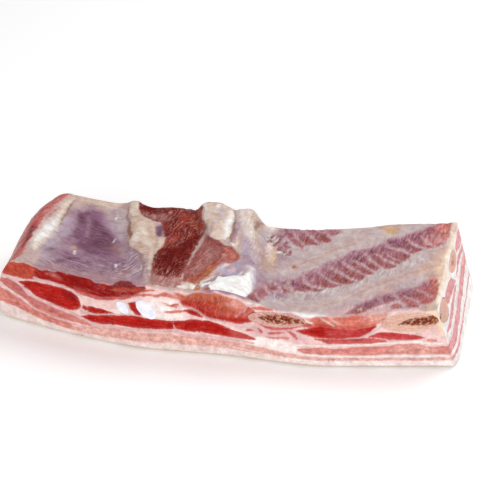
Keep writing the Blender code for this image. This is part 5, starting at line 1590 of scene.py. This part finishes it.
def meat_material():
    """Lean, fat and film: the painted layers with fine edges, fibres, marbling, wet gloss, painted glints
    and painted shade in creases and hollows.
    """
    g = Graph("flesh")
    place = g.vector("place")
    fine = g.noise(place, 1.1, 3.0, 0.6)
    grit = g.noise(place, 1.9, 2.0, 0.6)
    mottle = g.noise(place, 0.16, 4.0, 0.6)
    cloud = g.noise(place, 0.38, 3.0, 0.6)
    strokes = g.noise(g.vector("grain", (0.17, 1.10, 1.0)), 1.0, 4.0, 0.65)
    wide_strokes = g.noise(g.vector("grain", (0.13, 0.62, 1.0)), 1.0, 3.0, 0.6)
    ragged = g.math("SUBTRACT", g.noise(place, 0.7, 5.0, 0.72), 0.5)
    streak, wisp, soft = g.value("streak"), g.value("wisp"), g.value("soft")

    def edge(depth, spread):
        """1 inside a layer and 0 outside, over a width of soft mm, with a ragged and stroked border."""
        torn = g.math("MULTIPLY_ADD", ragged, spread, depth)
        stroked = g.math("MULTIPLY", streak, 3.0)
        torn = g.math("MULTIPLY_ADD", g.math("SUBTRACT", strokes, 0.5), stroked, torn)
        return g.step(g.math("DIVIDE", torn, soft), -0.5, 0.5)

    def toned(colour, *parts):
        """A colour made lighter and darker by noises, each with its strength."""
        tone = 1.0
        for noise, strength in parts:
            change = g.math("MULTIPLY_ADD", g.math("SUBTRACT", noise, 0.5), strength, 1.0)
            tone = g.math("MULTIPLY", change, tone)
        deep = g.math("POWER", tone, 1.6)        # what is darker is redder as well
        grey = g.node("ShaderNodeCombineColor", {0: tone, 1: deep, 2: deep}).outputs[0]
        return g.mix(1.0, colour, grey, "MULTIPLY")

    lean = edge(g.value("lean"), 2.2)
    pale = edge(g.value("pale"), 2.2)
    # lean: mottled, with fine grain, pale strokes and thin veins of fat
    patchy = g.step(g.noise(place, 0.10, 3.0, 0.6), 0.36, 0.62)
    stroking = g.math("MULTIPLY_ADD", g.math("MINIMUM", streak, 1.0), 1.3, 0.25)
    lean_colour = toned(
        g.colour("lean_tint"), (mottle, 0.7), (cloud, 1.1), (grit, 0.35), (wide_strokes, stroking))
    light = g.mix(0.52, g.colour("lean_tint"), (0.72, 0.40, 0.36))
    cover = g.math("MULTIPLY", g.math("MINIMUM", streak, 1.0), g.math("MULTIPLY_ADD", patchy, 0.6, 0.4))
    broad = g.math("MULTIPLY", g.step(wide_strokes, 0.55, 0.66), 0.8)
    brushed = g.math("MAXIMUM", g.step(strokes, 0.53, 0.67), broad)
    lean_colour = g.mix(g.math("MULTIPLY", brushed, cover), lean_colour, light)
    rim = g.math("SUBTRACT", 1.0, g.step(g.math("MULTIPLY_ADD", ragged, 2.5, g.value("lean")), 0.0, 2.0))
    lean_colour = g.mix(g.math("MULTIPLY", rim, 0.20), lean_colour, (0.64, 0.24, 0.21))
    veins = g.step(g.noise(g.vector("grain", (0.10, 0.42, 1.0)), 1.0, 6.0, 0.72), 0.60, 0.68)
    veins = g.math("MULTIPLY", veins, g.math("MULTIPLY", streak, 0.25))
    lean_colour = g.mix(veins, lean_colour, (0.74, 0.42, 0.38))
    # base: mottled, with pale wisps
    base_colour = toned(g.colour("base_tint"), (mottle, 0.6), (cloud, 0.45), (grit, 0.22))
    pinker = g.math("MULTIPLY", g.step(g.noise(place, 0.13, 5.0, 0.65), 0.48, 0.66), 0.22)
    base_colour = g.mix(pinker, base_colour, g.mix(1.0, base_colour, (1.0, 0.70, 0.70), "MULTIPLY"))
    threads = g.step(g.noise(g.vector("grain", (0.045, 0.75, 1.0)), 1.0, 3.0, 0.6), 0.52, 0.66)
    wisps = g.step(g.noise(g.vector("grain", (0.17, 0.9, 1.0)), 1.0, 5.0, 0.72), 0.48, 0.68)
    wisps = g.math("MAXIMUM", wisps, g.math("MULTIPLY", threads, 0.85))
    covering = g.math("MINIMUM", g.math("MULTIPLY", wisp, 0.46), 0.72)
    base_colour = g.mix(g.math("MULTIPLY", wisps, covering), base_colour, (0.84, 0.75, 0.75))
    base_colour = toned(base_colour, (wide_strokes, g.math("MULTIPLY", g.math("MINIMUM", wisp, 1.2), 0.75)))
    # put the layers together
    colour = g.mix(lean, base_colour, lean_colour)
    pale_colour = toned(g.colour("pale_tint"), (mottle, 0.45), (cloud, 0.45), (fine, 0.22))
    # Painted shade in the hollows of the fat's lumps, and painted highlight on their crests.
    lumps = g.noise(place, 0.24, 4.0, 0.6)
    lumpy = g.math("MINIMUM", wisp, 1.0)
    hollow = g.math("MULTIPLY", g.step(lumps, 0.52, 0.34), g.math("MULTIPLY", lumpy, 0.6))
    crest_highlight = g.math("MULTIPLY", g.step(lumps, 0.54, 0.68), g.math("MULTIPLY", lumpy, 0.7))
    pale_colour = g.mix(hollow, pale_colour, g.mix(1.0, pale_colour, (0.90, 0.74, 0.62), "MULTIPLY"))
    pale_colour = g.mix(crest_highlight, pale_colour, (0.86, 0.74, 0.62))
    streaky = g.math("MULTIPLY", wisps, g.math("MULTIPLY", wisp, 0.3))
    pale_colour = g.mix(streaky, pale_colour, (0.90, 0.85, 0.82))
    blush = g.math("MULTIPLY", g.step(g.noise(place, 0.22, 4.0, 0.65), 0.52, 0.68), 0.28)
    pale_colour = g.mix(blush, pale_colour, g.mix(1.0, pale_colour, (1.0, 0.72, 0.66), "MULTIPLY"))
    colour = g.mix(pale, colour, pale_colour)
    # Painted shade: the creases are coloured brown.
    seam = g.step(g.math("MULTIPLY_ADD", ragged, 1.2, g.value("seam")), -0.55, 0.35)
    colour = g.mix(g.math("MULTIPLY", seam, 0.7), colour, (0.30, 0.13, 0.06))
    # Painted highlights: sparse pale flecks on the strokes of lean and film.
    painted_glints = g.step(g.noise(place, 1.5, 2.0, 0.5), 0.665, 0.72)
    painted_glints = g.math("MULTIPLY", painted_glints, g.math("MULTIPLY", g.math("MAXIMUM", streak, wisp), 0.6))
    colour = g.mix(g.math("MINIMUM", painted_glints, 0.7), colour, (0.92, 0.86, 0.86))
    # gloss and fine relief
    rough = g.math("MULTIPLY_ADD", g.noise(place, 0.35, 3.0, 0.6), 0.35, 0.18)
    height = g.math("MULTIPLY", strokes, g.math("MAXIMUM", streak, wisp))
    height = g.math("MULTIPLY_ADD", fine, 0.5, height)
    height = g.math("MULTIPLY_ADD", grit, 0.25, height)
    height = g.math("MULTIPLY_ADD", pale, 0.5, height)
    height = g.math("MULTIPLY_ADD", seam, -0.6, height)
    normal = g.bump(height, 0.0006, 0.9)
    return g.finish(
        Base_Color=colour, Roughness=rough, Normal=normal, IOR=1.42, Specular_IOR_Level=0.05,
        Subsurface_Weight=0.10, Subsurface_Radius=(1.0, 0.35, 0.25), Subsurface_Scale=0.0012,
        Coat_Weight=0.02, Coat_Roughness=0.12)


def rind_material():
    """The skin under the strip: pale tan, pored and faintly creased."""
    g = Graph("rind")
    place = g.vector("place")
    mottle = g.noise(place, 0.06, 4.0, 0.6)
    colour = g.mix(g.step(mottle, 0.3, 0.7), (0.60, 0.42, 0.30), (0.74, 0.58, 0.46))
    pores = g.step(g.cells(place, 0.42), 0.0, 0.28)
    colour = g.mix(g.math("SUBTRACT", 1.0, pores), colour, (0.42, 0.26, 0.17))
    creases = g.step(g.noise(g.vector("place", (0.35, 1.0, 1.0)), 0.28, 5.0, 0.7), 0.44, 0.56)
    colour = g.mix(g.math("MULTIPLY", creases, 0.25), colour, (0.50, 0.34, 0.24))
    height = g.math("ADD", g.math("MULTIPLY", pores, 0.8), g.math("MULTIPLY", creases, 0.6))
    normal = g.bump(height, 0.0004, 0.7)
    return g.finish(
        Base_Color=colour, Roughness=0.5, Normal=normal, Subsurface_Weight=0.06, Subsurface_Scale=0.0015)


def bone_material():
    """Sawn rib: a pinkish rim round brown, open marrow."""
    g = Graph("bone")
    place = g.vector("place")
    warp = g.math("SUBTRACT", g.noise(place, 0.6, 4.0, 0.65), 0.5)
    depth = g.math("MULTIPLY_ADD", warp, 3.6, g.value("core"))
    marrow = g.step(depth, -0.5, 0.6)
    deep = g.step(depth, 0.2, 2.6)
    holes = g.step(g.cells(place, 0.52), 0.66, 0.36)
    small_holes = g.step(g.cells(place, 1.1), 0.52, 0.30)
    rim_tone = g.noise(place, 0.7, 3.0, 0.6)
    rim = g.mix(g.step(rim_tone, 0.35, 0.65), (0.54, 0.22, 0.19), (0.66, 0.38, 0.34))
    fibres = g.noise(g.vector("place", (0.12, 1.0, 1.0)), 1.6, 2.0)
    rim = g.mix(g.step(fibres, 0.5, 0.66), rim, (0.76, 0.52, 0.46))
    bloody = g.math("MULTIPLY", g.step(g.noise(place, 1.0, 1.0), 0.62, 0.72), 0.6)
    rim = g.mix(bloody, rim, (0.50, 0.17, 0.10))
    creamy = g.step(g.node("ShaderNodeSeparateXYZ", {0: place}).outputs[0], 60.0, 90.0)
    rim = g.mix(g.math("MULTIPLY", creamy, 0.35), rim, (0.84, 0.60, 0.40))
    lattice = g.mix(g.step(g.noise(place, 0.7, 2.0), 0.38, 0.62), (0.44, 0.13, 0.07), (0.78, 0.48, 0.34))
    pit = g.mix(deep, (0.36, 0.07, 0.03), (0.20, 0.020, 0.006))
    holes = g.math("MAXIMUM", holes, g.math("MULTIPLY", small_holes, 0.6))
    open_part = g.math("MULTIPLY", holes, g.step(depth, -0.4, 0.8))
    colour = g.mix(marrow, rim, g.mix(open_part, lattice, pit))
    # Painted light: the bone sections in the right cut are painted lighter and pinker, for the strong light
    # on that end.
    right_cut = g.step(g.node("ShaderNodeSeparateXYZ", {0: place}).outputs[1], 6.0, 14.0)
    colour = g.mix(g.math("MULTIPLY", right_cut, 0.65), colour, (0.88, 0.46, 0.38))
    height = g.math("MULTIPLY_ADD", open_part, -1.6, g.math("MULTIPLY", g.noise(place, 1.6, 3.0), 0.4))
    normal = g.bump(height, 0.0007, 1.0)
    return g.finish(Base_Color=colour, Roughness=0.5, Normal=normal, Specular_IOR_Level=0.08)


def cartilage_material():
    """Costal cartilage: white, faintly blue and glossy."""
    g = Graph("cartilage")
    place = g.vector("place")
    cloud = g.noise(place, 0.25, 3.0, 0.55)
    colour = g.mix(g.step(cloud, 0.35, 0.65), (0.74, 0.75, 0.93), (0.88, 0.87, 0.94))
    normal = g.bump(g.noise(place, 0.9, 3.0), 0.0003, 0.5)
    return g.finish(
        Base_Color=colour, Roughness=0.28, Normal=normal, Coat_Weight=0.15, Coat_Roughness=0.1,
        Subsurface_Weight=0.15, Subsurface_Radius=(0.6, 0.6, 0.8), Subsurface_Scale=0.002)


# ---------------------------------------------------------------------------------------------
# Building the pieces
# ---------------------------------------------------------------------------------------------
BOX_MARGIN = 0.00002    # metres that the relief stays inside the solids' box


def add_piece(name, mesh, materials, slot, *nodes):
    """An object that rides on the strip's body and stands for one or more solids."""
    piece = bpy.data.objects.new(name, mesh)
    for material in materials:
        mesh.materials.append(material)
    bpy.context.scene.collection.objects.link(piece)
    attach(piece, "root")
    if nodes:
        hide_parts(*nodes)


def keep_in_box(points):
    """Holds the fine relief inside the solids' own box."""
    low = np.array(CAD_LOW) + BOX_MARGIN
    high = np.array(CAD_HIGH) - BOX_MARGIN
    low[2] = 0.0
    return np.clip(points, low, high)


def read_points(mesh):
    """A mesh's points in metres."""
    flat = np.empty(len(mesh.vertices) * 3, dtype=np.float32)
    mesh.vertices.foreach_get("co", flat)
    return flat.reshape(-1, 3).astype(float)


def sides_of_points(mesh):
    """The side of each face and of each point: where sides meet, the one that comes last in the order."""
    sides = np.empty(len(mesh.polygons), dtype=np.int32)
    mesh.polygons.foreach_get("material_index", sides)
    totals = np.empty(len(mesh.polygons), dtype=np.int32)
    mesh.polygons.foreach_get("loop_total", totals)
    corners = np.empty(len(mesh.loops), dtype=np.int32)
    mesh.loops.foreach_get("vertex_index", corners)
    found = np.zeros(len(mesh.vertices), dtype=int)
    order = (BED, LEFT, RIGHT, BACK, FRONT, UNDER, TOP)
    rank = np.array([order.index(side) for side in range(SIDES)])
    np.maximum.at(found, corners, rank[np.repeat(sides, totals)])
    return sides, np.array(order)[found]


def cut_beds(mesh):
    """Cuts the beds of the bones out of the strip."""
    strip = bpy.data.objects.new("strip_blank", mesh)
    bpy.context.scene.collection.objects.link(strip)
    beds = []
    for name in RODS:
        bed = bpy.data.objects.new(name + "_bed", bed_mesh(name))
        bpy.context.scene.collection.objects.link(bed)
        beds.append(bed)
        modifier = strip.modifiers.new(name, "BOOLEAN")
        modifier.operation = "DIFFERENCE"
        modifier.solver = "MANIFOLD"
        modifier.object = bed
    bpy.context.view_layer.update()
    seen = strip.evaluated_get(bpy.context.evaluated_depsgraph_get())
    made = bpy.data.meshes.new_from_object(seen)
    for extra in beds + [strip]:
        bpy.data.objects.remove(extra)
    return made


def build_strip():
    """The strip: cut, painted and given its relief, with the rind on its underside."""
    mesh = blank_strip()
    for side in range(SIDES):
        mesh.materials.append(bpy.data.materials.new("side%d" % side))
    mesh = cut_beds(mesh)
    sides, side_of = sides_of_points(mesh)
    s, t, z = unplan(read_points(mesh) / MM)
    skin, points = dress(s, t, z, side_of)
    mesh.vertices.foreach_set("co", keep_in_box(points * MM).astype(np.float32).ravel())
    for name, values in skin.values.items():
        add_values(mesh, name, values)
    for name, values in skin.colours.items():
        add_colours(mesh, name, values)
    add_vectors(mesh, "grain", skin.grain)
    add_vectors(mesh, "place", skin.place)
    mesh.materials.clear()
    add_piece("strip_flesh", mesh, [meat_material(), rind_material()], "flesh", "belly")
    mesh.polygons.foreach_set("material_index", (sides == UNDER).astype(np.int32))
    mesh.shade_smooth()
    mesh.set_sharp_from_angle(angle=SHARP)


def build_rods():
    """The ribs and cartilages, each cut off level with the strip's faces."""
    materials = {"bone": bone_material(), "cartilage": cartilage_material()}
    for name in RODS:
        kind = "cartilage" if name.startswith("cartilage") else "bone"
        points, faces, marrow, place = rod_surface(name)
        mesh = mesh_from(name + "_cut", points, faces)
        mesh.set_sharp_from_angle(angle=SHARP)
        add_values(mesh, "core", marrow)
        add_vectors(mesh, "place", place)
        add_piece("cut_" + name, mesh, [materials[kind]], kind, name)


# ---------------------------------------------------------------------------------------------
# Floor, light and camera
# ---------------------------------------------------------------------------------------------
VIEW_TILT = 35.0                 # degrees the camera looks down
VIEW_DISTANCE = 970.0            # to the point on the floor in the middle of the picture
VIEW_LENS = 105.84
VIEW_TARGET = (0.0, 0.0)         # that point, before centring
SENSOR = 36.0
FLOOR_HALF = 4.0                 # metres
FLOOR_DROP = 0.0004
WHITE = (1.0, 1.0, 1.0)


def area_light(name, power, size, location, target):
    """A round white lamp that faces a point."""
    light = bpy.data.lights.new(name, "AREA")
    light.energy = power
    light.shape = "DISK"
    light.size = size
    lamp = bpy.data.objects.new(name, light)
    lamp.location = location
    lamp.rotation_euler = (Vector(target) - Vector(location)).to_track_quat("-Z", "Y").to_euler()
    bpy.context.scene.collection.objects.link(lamp)


def stage_and_light():
    """A white floor, an even white sky and two soft lamps."""
    floor_mesh = bpy.data.meshes.new("floor")
    corners = [(FLOOR_HALF * x, FLOOR_HALF * y, 0) for x, y in ((-1, -1), (1, -1), (1, 1), (-1, 1))]
    floor_mesh.from_pydata(corners, [], [(0, 1, 2, 3)])
    floor_mesh.materials.append(Graph("floor").finish(
        Base_Color=(0.97, 0.97, 0.97), Roughness=0.9, Emission_Color=WHITE, Emission_Strength=0.14))
    floor = bpy.data.objects.new("floor", floor_mesh)
    floor.location.z = -FLOOR_DROP
    bpy.context.scene.collection.objects.link(floor)

    world = bpy.data.worlds.new("studio")
    world.use_nodes = True
    background = world.node_tree.nodes["Background"]
    background.inputs["Color"].default_value = WHITE + (1.0,)
    background.inputs["Strength"].default_value = 0.45
    bpy.context.scene.world = world
    area_light("key", 6.0, 0.7, (0.45, 0.35, 0.95), (0.02, 0.0, 0.02))
    area_light("fill", 7.0, 1.0, (-0.15, -1.1, 0.5), (0.0, 0.0, 0.02))
    bpy.context.scene.view_settings.view_transform = "Standard"


def add_camera():
    """The photo's view: from the front, looking down on the strip."""
    tilt = math.radians(VIEW_TILT)
    target = Vector(((VIEW_TARGET[0] - CENTRE[0]) * MM, (VIEW_TARGET[1] - CENTRE[1]) * MM, 0.0))
    camera = bpy.data.objects.new("camera", bpy.data.cameras.new("camera"))
    camera.data.lens = VIEW_LENS
    camera.data.sensor_width = SENSOR
    camera.location = target + Vector((0.0, -math.cos(tilt), math.sin(tilt))) * VIEW_DISTANCE * MM
    camera.rotation_euler = (math.pi / 2 - tilt, 0.0, 0.0)
    bpy.context.scene.collection.objects.link(camera)
    bpy.context.scene.camera = camera


add_camera()
stage_and_light()
build_strip()
build_rods()
